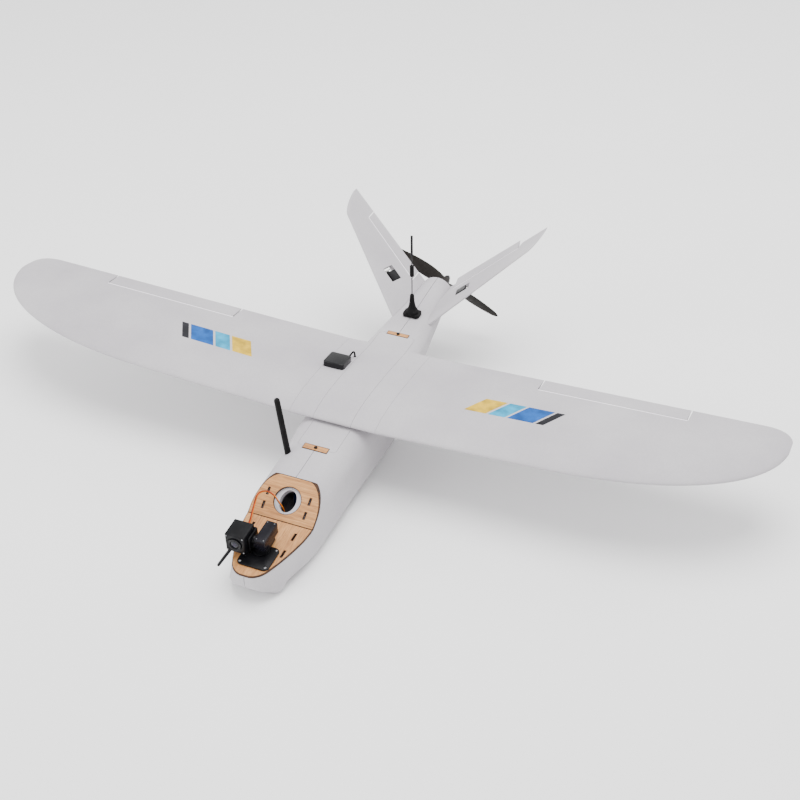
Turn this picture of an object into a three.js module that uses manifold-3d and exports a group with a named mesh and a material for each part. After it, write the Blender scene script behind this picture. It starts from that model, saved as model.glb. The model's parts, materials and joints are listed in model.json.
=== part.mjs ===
// Fixed wing drone: a V-tail foam pusher with a pan and tilt camera on a plywood nose deck.
// Millimetres. +X is the aircraft's left (port), +Y runs aft, +Z is up.
// The origin is on the belly rest plane, under the wing.
import * as THREE from "three";
import { mergeVertices } from "three/addons/utils/BufferGeometryUtils.js";
import Module from "manifold-3d";

const wasm = await Module();
wasm.setup();

// ---------------------------------------------------------------- driving sizes
const CLEARANCE = 0.3; // gap between pieces that touch
const BIG = 1200; // longer than the aircraft, for cutting blocks

const SKIN = 9; // foam wall of the fuselage
const PLY = 3; // plywood thickness
const BELLY_END = 18; // where the flat belly starts to rise
const POD_Y = 357; // rear rim of the motor pod
const POD_Z = 92.5; // height of the motor axis
const POD_RADIUS = 27.5;

const HALF_SPAN = 650;
const WING_ROOT_X = 70; // joint between the centre section and a wing panel
const WING_LE_Y = -75;
const WING_TE_Y = 145.9;
const WING_TE_SWEEP = -0.0215; // y per mm of span
const WING_Z = 107.5; // chord line at the root joint
const DIHEDRAL = 0.052; // z per mm of span
const INCIDENCE_RISE = 2.6; // the nose of a section is this much above its tail
const WING_THICKNESS = 0.086; // share of the chord
const WING_CAMBER = 0.014;
const LE_STRAIGHT_END = 320; // the leading edge bends aft from here
const TE_STRAIGHT_END = 600;
const TIP_Y = 92;

const AILERON_INNER = 263;
const AILERON_OUTER = 495;
const AILERON_CHORD = 32;
const HINGE_GAP = 0.6; // slit along a hinge and at both ends
const BEVEL = 35; // degrees of the bevel under a hinge

const FIN_ANGLE = 39; // degrees of each fin above the horizontal
const FIN_ROOT = new THREE.Vector3(29.8, 234.2, 104.2);
const FIN_PITCH = 2.4; // degrees, chord line up aft
const FIN_LE_C = -2; // chord position of the leading edge at the root
const FIN_LE_SLOPE = 0.636;
const FIN_CORNER = 170;
const FIN_SPAN = 191;
const FIN_TE_C = 126;
const FIN_TE_SLOPE = 0.254;
const FIN_THICKNESS = 0.088;
const RUDDER_INNER = 15;
const RUDDER_OUTER = 141;
const RUDDER_HINGE_C = 98.5; // chord position of the hinge line at the root
const RUDDER_HINGE_SLOPE = 0.296;
const RUDDER_TRIM = { left: 14, right: 0 }; // degrees up at rest

const HATCH_HALF = 31;
const HATCH_FRONT = -131;
const HATCH_REAR = 181;
const LATCH_FRONT = { halfX: 20, length: 12 };
const LATCH_REAR = { halfX: 18.5, length: 9 };
const SCREW_HEAD = 5.4;

const DECK_TOP_Y = -198; // upper end of the rear nose plate
const DECK_TOP_Z = 96.2;
const DECK_BREAK_Y = -254; // where the two nose plates meet
const DECK_BREAK_Z = 58.6;
const NOSE_Y = -366.5;
const NOSE_DECK_Z = 50;
const CAMERA_PORT = 41; // round hole in the rear nose plate
const SLOT = { length: 10.5, width: 2.6, x: 33 };

const SPAR = 8;
const SPAR_Y = -12;
const SPAR_Z = 105.5;
const SPAR_END = 420;

const MOTOR = { diameter: 28, length: 24, shaft: 5 };
const PROP_RADIUS = 110;
const PROP_HUB = 15;
const PROP_ANGLE = -25; // degrees of the port blade above the horizontal

const CAMERA = { width: 30, depth: 32, height: 31 };
const PAN_AXIS = new THREE.Vector3(2, -318, 0);

// ---------------------------------------------------------------- solids
// A closed geometry as a manifold solid.
function solid(geometry, matrix) {
  const g = (geometry.index ? geometry.toNonIndexed() : geometry.clone());
  g.deleteAttribute("normal");
  g.deleteAttribute("uv");
  if (matrix) g.applyMatrix4(matrix);
  const merged = mergeVertices(g, 1e-4);
  return new wasm.Manifold(
    new wasm.Mesh({
      numProp: 3,
      vertProperties: new Float32Array(merged.attributes.position.array),
      triVerts: new Uint32Array(merged.index.array),
    }),
  );
}

function geometryOf(manifold) {
  const mesh = manifold.getMesh();
  const g = new THREE.BufferGeometry();
  g.setAttribute("position", new THREE.BufferAttribute(mesh.vertProperties, 3));
  g.setIndex(new THREE.BufferAttribute(mesh.triVerts, 1));
  const flat = g.toNonIndexed();
  flat.computeVertexNormals();
  return flat;
}

const at = (x, y, z) => new THREE.Matrix4().makeTranslation(x, y, z);
const turnX = (degrees) => new THREE.Matrix4().makeRotationX(THREE.MathUtils.degToRad(degrees));
const turnY = (degrees) => new THREE.Matrix4().makeRotationY(THREE.MathUtils.degToRad(degrees));
const chain = (...matrices) => matrices.reduce((all, m) => all.multiply(m), new THREE.Matrix4());

// A box between two corners.
function block(x0, x1, y0, y1, z0, z1, matrix) {
  const place = at((x0 + x1) / 2, (y0 + y1) / 2, (z0 + z1) / 2);
  const box = new THREE.BoxGeometry(x1 - x0, y1 - y0, z1 - z0);
  return solid(box, matrix ? chain(matrix, place) : place);
}

// A round bar from one point to another.
function rod(from, to, radius, sides = 16, radiusTo = radius) {
  const along = to.clone().sub(from);
  const cylinder = new THREE.CylinderGeometry(radiusTo, radius, along.length(), sides);
  const spin = new THREE.Quaternion().setFromUnitVectors(
    new THREE.Vector3(0, 1, 0),
    along.clone().normalize(),
  );
  const middle = from.clone().add(to).multiplyScalar(0.5);
  return solid(cylinder, new THREE.Matrix4().compose(middle, spin, new THREE.Vector3(1, 1, 1)));
}

// A turned solid: the profile is [radius, height] pairs from the axis back to the axis.
function turned(profile, matrix, sides = 24) {
  const points = profile.map(([radius, height]) => new THREE.Vector2(radius, height));
  return solid(new THREE.LatheGeometry(points, sides), chain(matrix, turnX(90)));
}

// A flat plate: an outline in the XY plane, extruded up Z.
function plate(shape, thickness, matrix, curveSegments = 6) {
  const settings = { depth: thickness, bevelEnabled: false, curveSegments };
  return solid(new THREE.ExtrudeGeometry(shape, settings), matrix);
}

function roundedOutline(x0, x1, y0, y1, radius) {
  const shape = new THREE.Shape();
  shape.moveTo(x0 + radius, y0);
  shape.lineTo(x1 - radius, y0);
  shape.absarc(x1 - radius, y0 + radius, radius, -Math.PI / 2, 0);
  shape.lineTo(x1, y1 - radius);
  shape.absarc(x1 - radius, y1 - radius, radius, 0, Math.PI / 2);
  shape.lineTo(x0 + radius, y1);
  shape.absarc(x0 + radius, y1 - radius, radius, Math.PI / 2, Math.PI);
  shape.lineTo(x0, y0 + radius);
  shape.absarc(x0 + radius, y0 + radius, radius, Math.PI, 1.5 * Math.PI);
  return shape;
}

// A box with rounded upright edges.
function roundedBlock(x0, x1, y0, y1, z0, z1, radius, matrix) {
  const lift = at(0, 0, z0);
  const shape = roundedOutline(x0, x1, y0, y1, radius);
  return plate(shape, z1 - z0, matrix ? chain(matrix, lift) : lift, 3);
}

// A solid through rings of equal point count, closed by a flat cap at each end.
function loft(rings) {
  const count = rings[0].length;
  const faces = [];
  for (let ring = 0; ring < rings.length - 1; ring += 1) {
    for (let i = 0; i < count; i += 1) {
      const next = (i + 1) % count;
      const a = ring * count + i;
      const b = ring * count + next;
      faces.push(a, b, a + count, b, b + count, a + count);
    }
  }
  const capped = [rings[0], rings[rings.length - 1]];
  capped.forEach((ring, end) => {
    const middle = ring.reduce((sum, p) => sum.add(p), new THREE.Vector3()).divideScalar(count);
    const centre = rings.length * count + end;
    capped[end] = middle;
    const base = end ? (rings.length - 1) * count : 0;
    for (let i = 0; i < count; i += 1) {
      const next = (i + 1) % count;
      faces.push(...(end ? [base + i, base + next, centre] : [base + next, base + i, centre]));
    }
  });
  const g = new THREE.BufferGeometry().setFromPoints([...rings.flat(), ...capped]);
  g.setIndex(faces);
  const made = solid(g);
  if (made.volume() > 0) return made;
  for (let i = 0; i < faces.length; i += 3) faces.splice(i + 1, 2, faces[i + 2], faces[i + 1]);
  g.setIndex(faces);
  return solid(g);
}

// A tube along a smooth route.
function tube(points, radius, steps, sides = 8) {
  const section = new THREE.Shape();
  section.absarc(0, 0, radius, 0, 2 * Math.PI);
  const settings = {
    steps,
    curveSegments: sides / 2,
    bevelEnabled: false,
    extrudePath: new THREE.CatmullRomCurve3(points),
  };
  return solid(new THREE.ExtrudeGeometry(section, settings));
}

// ---------------------------------------------------------------- materials and scene
const paint = (color, roughness, metalness = 0) =>
  new THREE.MeshStandardMaterial({ color, roughness, metalness });
const FOAM = paint(0xe9e6ea, 0.75);
const PLYWOOD = paint(0xdcae78, 0.6);
const BLACK = paint(0x17171a, 0.45);
const GREY_PLASTIC = paint(0x4a4852, 0.4);
const CARBON = paint(0x222326, 0.4);
const PROP_CARBON = paint(0x4a443e, 0.45);
const STEEL = paint(0xb9bcc0, 0.3, 1);
const GLASS = paint(0x0a0c14, 0.08);
const WHITE_NYLON = paint(0xf2f1ec, 0.5);
const LEAD = paint(0xb06a28, 0.6);
const PACK = paint(0x2d4f8c, 0.5);
const BOARD = paint(0x1d5a3a, 0.5);

const model = new THREE.Group();
model.name = "fixed_wing_drone";

function add(name, manifold, material) {
  const mesh = new THREE.Mesh(geometryOf(manifold), material);
  mesh.name = name;
  model.add(mesh);
}

// Adds a port piece and its mirror image.
function addPair(name, manifold, material) {
  add(`${name}_left`, manifold, material);
  add(`${name}_right`, manifold.mirror([1, 0, 0]), material);
}

const joints = [];

function joint(name, point, axis) {
  joints.push({ name, point: point.toArray(), axis: axis.clone().normalize().toArray() });
}

// ---------------------------------------------------------------- fuselage shape
// Stations of the foam body: half width, top, bottom, corner radii, and how far the chin flares.
const STATIONS = [
  { y: NOSE_Y, half: 5, top: 84, bottom: 31, upper: 3, lower: 3, flare: 3 },
  { y: -364.5, half: 10, top: 86, bottom: 26, upper: 6, lower: 5, flare: 5 },
  { y: -358, half: 18, top: 88, bottom: 18, upper: 12, lower: 6, flare: 7 },
  { y: -347, half: 24.4, top: 89, bottom: 11, upper: 18, lower: 7, flare: 9.6 },
  { y: -335, half: 30.5, top: 89.9, bottom: 2.5, upper: 23, lower: 7, flare: 9 },
  { y: -316, half: 38.4, top: 91, bottom: 5, upper: 30, lower: 14, flare: 5 },
  { y: -295, half: 44.6, top: 92, bottom: 4, upper: 32, lower: 18, flare: 4 },
  { y: -273, half: 49.2, top: 93, bottom: 1.6, upper: 32, lower: 20, flare: 3.8 },
  { y: -240, half: 52, top: 95, bottom: 0, upper: 33, lower: 20, flare: 3.5 },
  { y: -190, half: 53, top: 97, bottom: 0, upper: 33, lower: 22, flare: 3 },
  { y: -131, half: 54, top: 101.4, bottom: 0, upper: 32, lower: 26, flare: 2 },
  { y: -62, half: 59, top: 104.5, bottom: 0, upper: 30, lower: 31, flare: 0 },
  { y: BELLY_END, half: 60, top: 107, bottom: 0, upper: 28, lower: 32, flare: 0 },
  { y: 80, half: 56, top: 108.5, bottom: 11, upper: 24, lower: 31, flare: 0 },
  { y: 150, half: 47, top: 110, bottom: 31, upper: 20, lower: 28, flare: 0 },
  { y: 210, half: 41, top: 111, bottom: 50, upper: 20, lower: 27, flare: 0 },
  { y: 262, half: 36, top: 112.5, bottom: 62, upper: 21, lower: 25, flare: 0 },
  { y: 315, half: 30, top: 117, bottom: 67, upper: 24, lower: 25, flare: 0 },
  { y: POD_Y, half: POD_RADIUS, top: POD_Z + POD_RADIUS, bottom: POD_Z - POD_RADIUS,
    upper: POD_RADIUS - 0.2, lower: POD_RADIUS - 0.2, flare: 0 },
];
const CORNER_STEPS = 5;

// The ring of points of one station, drawn in by inset.
function bodyRing(station, inset) {
  const half = Math.max(station.half - inset, 1);
  const foot = half + station.flare;
  const top = station.top - inset;
  const bottom = station.bottom + inset;
  const limit = Math.min(half, (top - bottom) / 2) - 0.05;
  const upper = Math.min(Math.max(station.upper - inset, 1.5), limit);
  const lower = Math.min(Math.max(station.lower - inset, 1.5), limit);
  const side = [new THREE.Vector3(0, station.y, top)];
  for (let i = 0; i <= CORNER_STEPS; i += 1) {
    const turn = (Math.PI / 2) * (i / CORNER_STEPS);
    const x = half - upper + upper * Math.sin(turn);
    side.push(new THREE.Vector3(x, station.y, top - upper + upper * Math.cos(turn)));
  }
  for (let i = 0; i <= CORNER_STEPS; i += 1) {
    const turn = (Math.PI / 2) * (i / CORNER_STEPS);
    const x = foot - lower + lower * Math.cos(turn);
    side.push(new THREE.Vector3(x, station.y, bottom + lower - lower * Math.sin(turn)));
  }
  side.push(new THREE.Vector3(0, station.y, bottom));
  const back = side.slice(1, -1).reverse();
  return [...side, ...back.map((p) => new THREE.Vector3(-p.x, p.y, p.z))];
}

const body = (inset) => loft(STATIONS.map((station) => bodyRing(station, inset)));

// A round bar on the motor's axis.
const shaftLine = (from, to, radius, sides = 24) =>
  rod(new THREE.Vector3(0, from, POD_Z), new THREE.Vector3(0, to, POD_Z), radius, sides);

// The hollow: the body drawn in by the foam wall, between two stations.
function bodyHollow(firstY, lastY) {
  const inside = body(SKIN);
  return inside.intersect(block(-BIG, BIG, firstY, lastY, -BIG, BIG));
}

// ---------------------------------------------------------------- wing shape
// Half thickness of a NACA section of unit chord, with a blunt trailing edge.
function sectionHalf(u, thickness) {
  const curve = 0.2969 * Math.sqrt(u) - 0.126 * u - 0.3516 * u ** 2 + 0.2843 * u ** 3;
  return 5 * thickness * (curve - 0.0985 * u ** 4);
}

function camberLine(u) {
  const peak = 0.3;
  if (u < peak) return (WING_CAMBER / peak ** 2) * (2 * peak * u - u ** 2);
  return (WING_CAMBER / (1 - peak) ** 2) * (1 - 2 * peak + 2 * peak * u - u ** 2);
}

// Chord stations, closer together near the nose.
const CHORD_STEPS = 11;
const chordStation = (i) => 1 - Math.cos((Math.PI / 2) * (i / CHORD_STEPS));

function leadingEdge(x) {
  if (x <= LE_STRAIGHT_END) return WING_LE_Y;
  const s = (x - LE_STRAIGHT_END) / (HALF_SPAN - LE_STRAIGHT_END);
  return WING_LE_Y + (TIP_Y - WING_LE_Y) * (1 - (1 - s ** 2.2) ** (1 / 2.2));
}

function trailingEdge(x) {
  const straight = WING_TE_Y + WING_TE_SWEEP * (x - WING_ROOT_X);
  if (x <= TE_STRAIGHT_END) return straight;
  const s = (x - TE_STRAIGHT_END) / (HALF_SPAN - TE_STRAIGHT_END);
  return TIP_Y + (straight - TIP_Y) * (1 - s ** 2.6) ** (1 / 2.6);
}

const wingLift = (x) => WING_Z + DIHEDRAL * Math.max(Math.abs(x) - WING_ROOT_X, 0);

// One wing section: over the top from nose to tail, then back underneath.
function wingRing(x) {
  const nose = leadingEdge(Math.abs(x));
  const chord = trailingEdge(Math.abs(x)) - nose;
  const point = (u, sign) => {
    const z = camberLine(u) + sign * sectionHalf(u, WING_THICKNESS);
    const rise = INCIDENCE_RISE * (1 - u);
    return new THREE.Vector3(x, nose + u * chord, wingLift(x) + rise + z * chord);
  };
  const ring = [];
  for (let i = 0; i <= CHORD_STEPS; i += 1) ring.push(point(chordStation(i), 1));
  for (let i = CHORD_STEPS; i > 0; i -= 1) ring.push(point(chordStation(i), -1));
  return ring;
}

const WING_SECTIONS = [180, AILERON_INNER, 340, 400, 450, AILERON_OUTER, 535, 570, 600, 622, 637, 645.5, 649];
const wingSolid = (rootX) => loft([rootX, ...WING_SECTIONS].map(wingRing));
const centreSection = loft([-WING_ROOT_X, 0, WING_ROOT_X].map(wingRing));

// Height of the wing's upper surface.
function wingTop(x, y) {
  const nose = leadingEdge(x);
  const chord = trailingEdge(x) - nose;
  const u = (y - nose) / chord;
  const z = camberLine(u) + sectionHalf(u, WING_THICKNESS);
  return wingLift(x) + INCIDENCE_RISE * (1 - u) + z * chord;
}

// ---------------------------------------------------------------- fin shape
const finAngle = THREE.MathUtils.degToRad(FIN_ANGLE);
const finAlong = new THREE.Vector3(Math.cos(finAngle), 0, Math.sin(finAngle));
const finAft = new THREE.Vector3(0, 1, 0).applyAxisAngle(
  finAlong,
  THREE.MathUtils.degToRad(FIN_PITCH),
);
const finUp = new THREE.Vector3().crossVectors(finAlong, finAft);

function finPoint(s, c, n = 0) {
  return FIN_ROOT.clone()
    .addScaledVector(finAlong, s)
    .addScaledVector(finAft, c)
    .addScaledVector(finUp, n);
}

const finTrailing = (s) => FIN_TE_C + FIN_TE_SLOPE * s;

function finLeading(s) {
  const straight = FIN_LE_C + FIN_LE_SLOPE * Math.min(s, FIN_CORNER);
  if (s <= FIN_CORNER) return straight;
  const share = (s - FIN_CORNER) / (FIN_SPAN - FIN_CORNER);
  return straight + (finTrailing(FIN_SPAN) - 4 - straight) * (1 - (1 - share ** 1.5) ** (1 / 1.5));
}

const finHinge = (s) => RUDDER_HINGE_C + RUDDER_HINGE_SLOPE * s;

function finRing(s) {
  const nose = finLeading(s);
  const chord = finTrailing(s) - nose;
  const ring = [];
  const point = (u, sign) =>
    finPoint(s, nose + u * chord, sign * sectionHalf(u, FIN_THICKNESS) * chord);
  for (let i = 0; i <= CHORD_STEPS; i += 1) ring.push(point(chordStation(i), 1));
  for (let i = CHORD_STEPS; i > 0; i -= 1) ring.push(point(chordStation(i), -1));
  return ring;
}

const FIN_SECTIONS = [-22, RUDDER_INNER, 40, 85, RUDDER_OUTER, 155, FIN_CORNER, 177, 183, 187.5, 190.2];
const finSolid = loft(FIN_SECTIONS.map(finRing));

// Height of the fin's upper face above its chord plane.
function finTop(s, c) {
  const nose = finLeading(s);
  const chord = finTrailing(s) - nose;
  return sectionHalf((c - nose) / chord, FIN_THICKNESS) * chord;
}

// ---------------------------------------------------------------- fuselage pieces
const deckAngle = (rise, run) => THREE.MathUtils.radToDeg(Math.atan2(rise, run));
const REAR_SLOPE = deckAngle(DECK_TOP_Z - DECK_BREAK_Z, DECK_TOP_Y - DECK_BREAK_Y);
const FRONT_SLOPE = deckAngle(DECK_BREAK_Z - NOSE_DECK_Z, DECK_BREAK_Y - NOSE_Y);
const REAR_LENGTH = Math.hypot(DECK_TOP_Z - DECK_BREAK_Z, DECK_TOP_Y - DECK_BREAK_Y);
const FRONT_LENGTH = Math.hypot(DECK_BREAK_Z - NOSE_DECK_Z, DECK_BREAK_Y - NOSE_Y);
const rearDeck = chain(at(0, DECK_BREAK_Y, DECK_BREAK_Z), turnX(REAR_SLOPE));
const frontDeck = chain(at(0, DECK_BREAK_Y, DECK_BREAK_Z), turnX(FRONT_SLOPE));

// The space over both nose plates, down to a depth below their top faces.
function overDecks(depth) {
  const over = block(-90, 90, -300, REAR_LENGTH + CLEARANCE, -depth, 300, rearDeck);
  return over.intersect(block(-90, 90, -300, 300, -depth, 300, frontDeck));
}

const slotBox = (sign, from, length, frame, spare) =>
  block(
    sign * SLOT.x - SLOT.width / 2 - spare, sign * SLOT.x + SLOT.width / 2 + spare,
    from - spare, from + length + spare, -30, 30, frame,
  );
const REAR_SLOTS = [11.5, 33];
const FRONT_SLOTS = [-29, -64];
const FRONT_SLOT_LENGTH = 13.5;

const spread = body(-CLEARANCE);
const outer = body(0);
const spine = (x) => SPAR_Z + DIHEDRAL * x;
const sparLine = (from, to, radius) =>
  rod(new THREE.Vector3(from, SPAR_Y, spine(from)), new THREE.Vector3(to, SPAR_Y, spine(to)), radius, 14);
const JOINER = { halfX: 44, halfY: 8, low: SPAR_Z - 6.5, high: SPAR_Z + 7.5 };
const joinerBox = (spare) =>
  block(
    -JOINER.halfX - spare, JOINER.halfX + spare,
    SPAR_Y - JOINER.halfY - spare, SPAR_Y + JOINER.halfY + spare,
    JOINER.low - spare, JOINER.high + spare,
  );

function hatchPrism(spare) {
  const outline = roundedOutline(
    -HATCH_HALF + spare, HATCH_HALF - spare, HATCH_FRONT + spare, HATCH_REAR - spare, 6 - spare,
  );
  return plate(outline, 80, at(0, 0, 80));
}

function latchBox(latch, y, top, spare) {
  return block(
    -latch.halfX - spare, latch.halfX + spare, y - latch.length / 2 - spare,
    y + latch.length / 2 + spare, top - PLY - spare, top + (spare ? 30 : 0),
  );
}
const LATCHES = [
  { name: "hatch_front_latch", screw: "hatch_front_screw", size: LATCH_FRONT, y: -131, top: 101.9 },
  { name: "hatch_rear_latch", screw: "hatch_rear_screw", size: LATCH_REAR, y: 182, top: 111 },
];
const screwPoint = (latch, z) => new THREE.Vector3(0, latch.y, z);

const GPS = { x: -52, y: 59, width: 35, length: 34, height: 12, sunk: 3 };
const gpsTurn = deckAngle(
  wingTop(0, GPS.y + GPS.length / 2) - wingTop(0, GPS.y - GPS.length / 2),
  GPS.length,
);
const gpsFrame = chain(at(GPS.x, GPS.y, wingTop(0, GPS.y) - GPS.sunk), turnX(gpsTurn));
const GPS_EXIT = { x: -36, y: 91 };
const gpsBore = rod(
  new THREE.Vector3(GPS_EXIT.x, GPS_EXIT.y, 80),
  new THREE.Vector3(GPS_EXIT.x, GPS_EXIT.y, 140),
  2.4,
  12,
);

const gpsBox = (spare, height) =>
  roundedBlock(
    -GPS.width / 2 - spare, GPS.width / 2 + spare, -GPS.length / 2 - spare,
    GPS.length / 2 + spare, -spare, height, 4 + spare, gpsFrame,
  );

const STUB = { base: new THREE.Vector3(-36.7, -149.9, 96), tip: new THREE.Vector3(-50.4, -149.9, 189.6) };
STUB.aim = STUB.tip.clone().sub(STUB.base).normalize();
const PITOT = { x: -44.5, z: 45, from: -282, to: -358.5, radius: 2.4 };
const pitotRod = (from, to, radius) =>
  rod(new THREE.Vector3(PITOT.x, from, PITOT.z), new THREE.Vector3(PITOT.x, to, PITOT.z), radius, 12);
const stubRod = (from, to, radius) =>
  rod(
    STUB.base.clone().addScaledVector(STUB.aim, from),
    STUB.base.clone().addScaledVector(STUB.aim, to),
    radius,
    14,
  );

const MOTOR_WELL = 22; // radius and depth of the hollow behind the motor
const podRecess = shaftLine(POD_Y - MOTOR_WELL, POD_Y + 6, MOTOR_WELL, 32);
const PAN_Y = PAN_AXIS.y - DECK_BREAK_Y; // along the front plate
const gimbal = chain(frontDeck, at(PAN_AXIS.x, PAN_Y / Math.cos(THREE.MathUtils.degToRad(FRONT_SLOPE)), 0));
const PAN_HOLE = 6;

// A foam bulkhead stays under the rear nose plate, with an oval opening below the round hole.
const BULKHEAD = { thickness: 9, halfX: 12.5, halfY: 17 };
const portFrame = chain(rearDeck, at(0, REAR_LENGTH - 36, 0));
const ovalTool = turned(
  [[0, -40], [1, -40], [1, 40], [0, 40]],
  chain(portFrame, new THREE.Matrix4().makeScale(BULKHEAD.halfX, BULKHEAD.halfY, 1)),
  32,
);
const bulkhead = block(
  -90, 90, 2, REAR_LENGTH + 40, -PLY - CLEARANCE - BULKHEAD.thickness, 60, rearDeck,
).subtract(ovalTool);

const hull = outer
  .add(centreSection)
  .subtract(bodyHollow(-342, 326).subtract(bulkhead))
  .subtract(podRecess)
  .subtract(overDecks(PLY + CLEARANCE))
  .subtract(hatchPrism(0))
  .subtract(joinerBox(CLEARANCE))
  .subtract(sparLine(0, 90, SPAR / 2 + CLEARANCE))
  .subtract(sparLine(0, 90, SPAR / 2 + CLEARANCE).mirror([1, 0, 0]))
  .subtract(gpsBore)
  .subtract(gpsBox(CLEARANCE, 40))
  .subtract(pitotRod(PITOT.from + CLEARANCE, -400, PITOT.radius + CLEARANCE))
  .subtract(stubRod(-16, 4, 5));
const latched = LATCHES.reduce(
  (all, latch) =>
    all
      .subtract(latchBox(latch.size, latch.y, latch.top, CLEARANCE))
      .subtract(rod(screwPoint(latch, 80), screwPoint(latch, 140), 1.6, 12)),
  hull,
);
// The halves meet on the centre plane, but the port half laps under the other along the belly.
const LAP = { reach: 5, front: -200, rear: 10, height: 4 };
const lap = (spare) =>
  block(-LAP.reach - spare, 1, LAP.front - spare, LAP.rear + spare, -1, LAP.height + spare);
const portSide = block(CLEARANCE / 2, BIG, -BIG, BIG, -BIG, BIG);
const starboardSide = block(-BIG, -CLEARANCE / 2, -BIG, BIG, -BIG, BIG);
add("fuselage_left", latched.intersect(portSide.add(lap(0))), FOAM);
add("fuselage_right", latched.intersect(starboardSide).subtract(lap(CLEARANCE)), FOAM);

const hatch = LATCHES.reduce(
  (all, latch) =>
    all
      .subtract(latchBox(latch.size, latch.y, latch.top, CLEARANCE))
      .subtract(rod(screwPoint(latch, 80), screwPoint(latch, 140), 1.6, 12)),
  outer
    .add(centreSection)
    .intersect(hatchPrism(0.4))
    .subtract(bodyHollow(-342, 326))
    .subtract(
      block(-40, 40, SPAR_Y - JOINER.halfY - 1, SPAR_Y + JOINER.halfY + 1, 0, JOINER.high + 1),
    ),
);
add("hatch", hatch, FOAM);
for (const latch of LATCHES) {
  const hole = rod(screwPoint(latch, 80), screwPoint(latch, 140), 1.6, 12);
  add(latch.name, latchBox(latch.size, latch.y, latch.top, 0).subtract(hole), PLYWOOD);
  const top = latch.top + CLEARANCE;
  const shank = rod(screwPoint(latch, top - 12), screwPoint(latch, top + 0.5), 1.3, 10);
  const head = rod(screwPoint(latch, top), screwPoint(latch, top + 1.5), SCREW_HEAD / 2, 14);
  add(latch.screw, shank.add(head), BLACK);
}

const plateBody = body(0.1);
const cutSlots = (panel, slots, length, frame) =>
  slots.reduce(
    (all, from) =>
      all
        .subtract(slotBox(1, from, length, frame, 0))
        .subtract(slotBox(-1, from, length, frame, 0)),
    panel,
  );
const portHole = turned(
  [[0, -20], [CAMERA_PORT / 2, -20], [CAMERA_PORT / 2, 20], [0, 20]],
  portFrame,
  32,
);
const rearSlab = block(-90, 90, CLEARANCE / 2, REAR_LENGTH, -PLY, 0, rearDeck)
  .subtract(block(-90, 90, -200, 0, -90, 90, frontDeck));
const frontSlab = block(-90, 90, -FRONT_LENGTH - 9, -CLEARANCE / 2, -PLY, 0, frontDeck)
  .subtract(block(-90, 90, -5, 90, -90, 0.01, rearDeck));
const rearPanel = plateBody.intersect(rearSlab).subtract(portHole);
add("nose_plate_rear", cutSlots(rearPanel, REAR_SLOTS, SLOT.length, rearDeck), PLYWOOD);
const panBore = turned([[0, -20], [PAN_HOLE, -20], [PAN_HOLE, 20], [0, 20]], gimbal);
const frontPanel = plateBody.intersect(frontSlab).subtract(panBore);
add("nose_plate_front", cutSlots(frontPanel, FRONT_SLOTS, FRONT_SLOT_LENGTH, frontDeck), PLYWOOD);

// ---------------------------------------------------------------- spars
const joiner = joinerBox(0)
  .subtract(sparLine(2, 90, SPAR / 2 + CLEARANCE))
  .subtract(sparLine(2, 90, SPAR / 2 + CLEARANCE).mirror([1, 0, 0]));
add("spar_joiner", joiner, PLYWOOD);
addPair("wing_spar", sparLine(3, SPAR_END, SPAR / 2), CARBON);

// ---------------------------------------------------------------- control surfaces
// A frame on a hinge line: x outboard along the hinge, y aft, z out of the upper face.
function hingeFrame(inner, outer, up) {
  const x = outer.clone().sub(inner).normalize();
  const y = new THREE.Vector3().crossVectors(up, x).normalize();
  const z = new THREE.Vector3().crossVectors(x, y);
  return new THREE.Matrix4().makeBasis(x, y, z).setPosition(inner);
}

const SERVO_GAP = 0.5;
const ARM_THICKNESS = 1.8;
const PIVOT = 1.2; // radius of the hole for a pushrod's bent end
const CASE_TO_SHAFT = 5.5; // a servo's shaft sits near one end of its case
const WING_LINK = { x: 96, reach: 72, drop: 7, arm: 13, skin: 6.6, long: 23, deep: 22, thick: 12 };
const FIN_LINK = { x: 32, reach: 40.5, drop: 2.2, arm: 10, skin: 4.6, long: 20, deep: 18, thick: 8.6 };
const SURFACE_RANGE = 25;

// A linkage plate lies across the hinge, so its outline is drawn aft and up.
const upright = new THREE.Matrix4().makeBasis(
  new THREE.Vector3(0, 1, 0),
  new THREE.Vector3(0, 0, 1),
  new THREE.Vector3(1, 0, 0),
);

// The region aft of a hinge: upright behind the fixed panel, bevelled below for the surface.
function behindHinge(frame, bevelled) {
  const back = block(-20, 400, bevelled ? HINGE_GAP : 0, 90, -60, 60, frame);
  if (!bevelled) return back;
  return back.intersect(
    block(-20, 400, 0, 120, -90, 90, chain(frame, at(0, HINGE_GAP, 0), turnX(BEVEL))),
  );
}

const pivotHole = (frame, arm) =>
  rod(
    new THREE.Vector3(-1, 0, -arm).applyMatrix4(frame),
    new THREE.Vector3(ARM_THICKNESS + 1, 0, -arm).applyMatrix4(frame),
    PIVOT,
    10,
  );

function armPlate(frame, arm) {
  const shape = new THREE.Shape();
  shape.absarc(0, 0, 3.4, 0, Math.PI);
  shape.absarc(0, -arm, 2.4, Math.PI, 2 * Math.PI);
  return plate(shape, ARM_THICKNESS, chain(frame, upright), 5).subtract(pivotHole(frame, arm));
}

function hornPlate(frame, link) {
  const shape = new THREE.Shape();
  shape.moveTo(4, -link.skin);
  shape.lineTo(-0.5, -link.arm + 2.3);
  shape.absarc(0, -link.arm, 2.4, Math.PI * 0.6, Math.PI * 1.8);
  shape.lineTo(15, -link.skin);
  return plate(shape, ARM_THICKNESS, chain(frame, upright), 4).subtract(pivotHole(frame, link.arm));
}

const servoFrame = (frame, link) => chain(frame, at(link.x, -link.reach, -link.drop));

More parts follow.
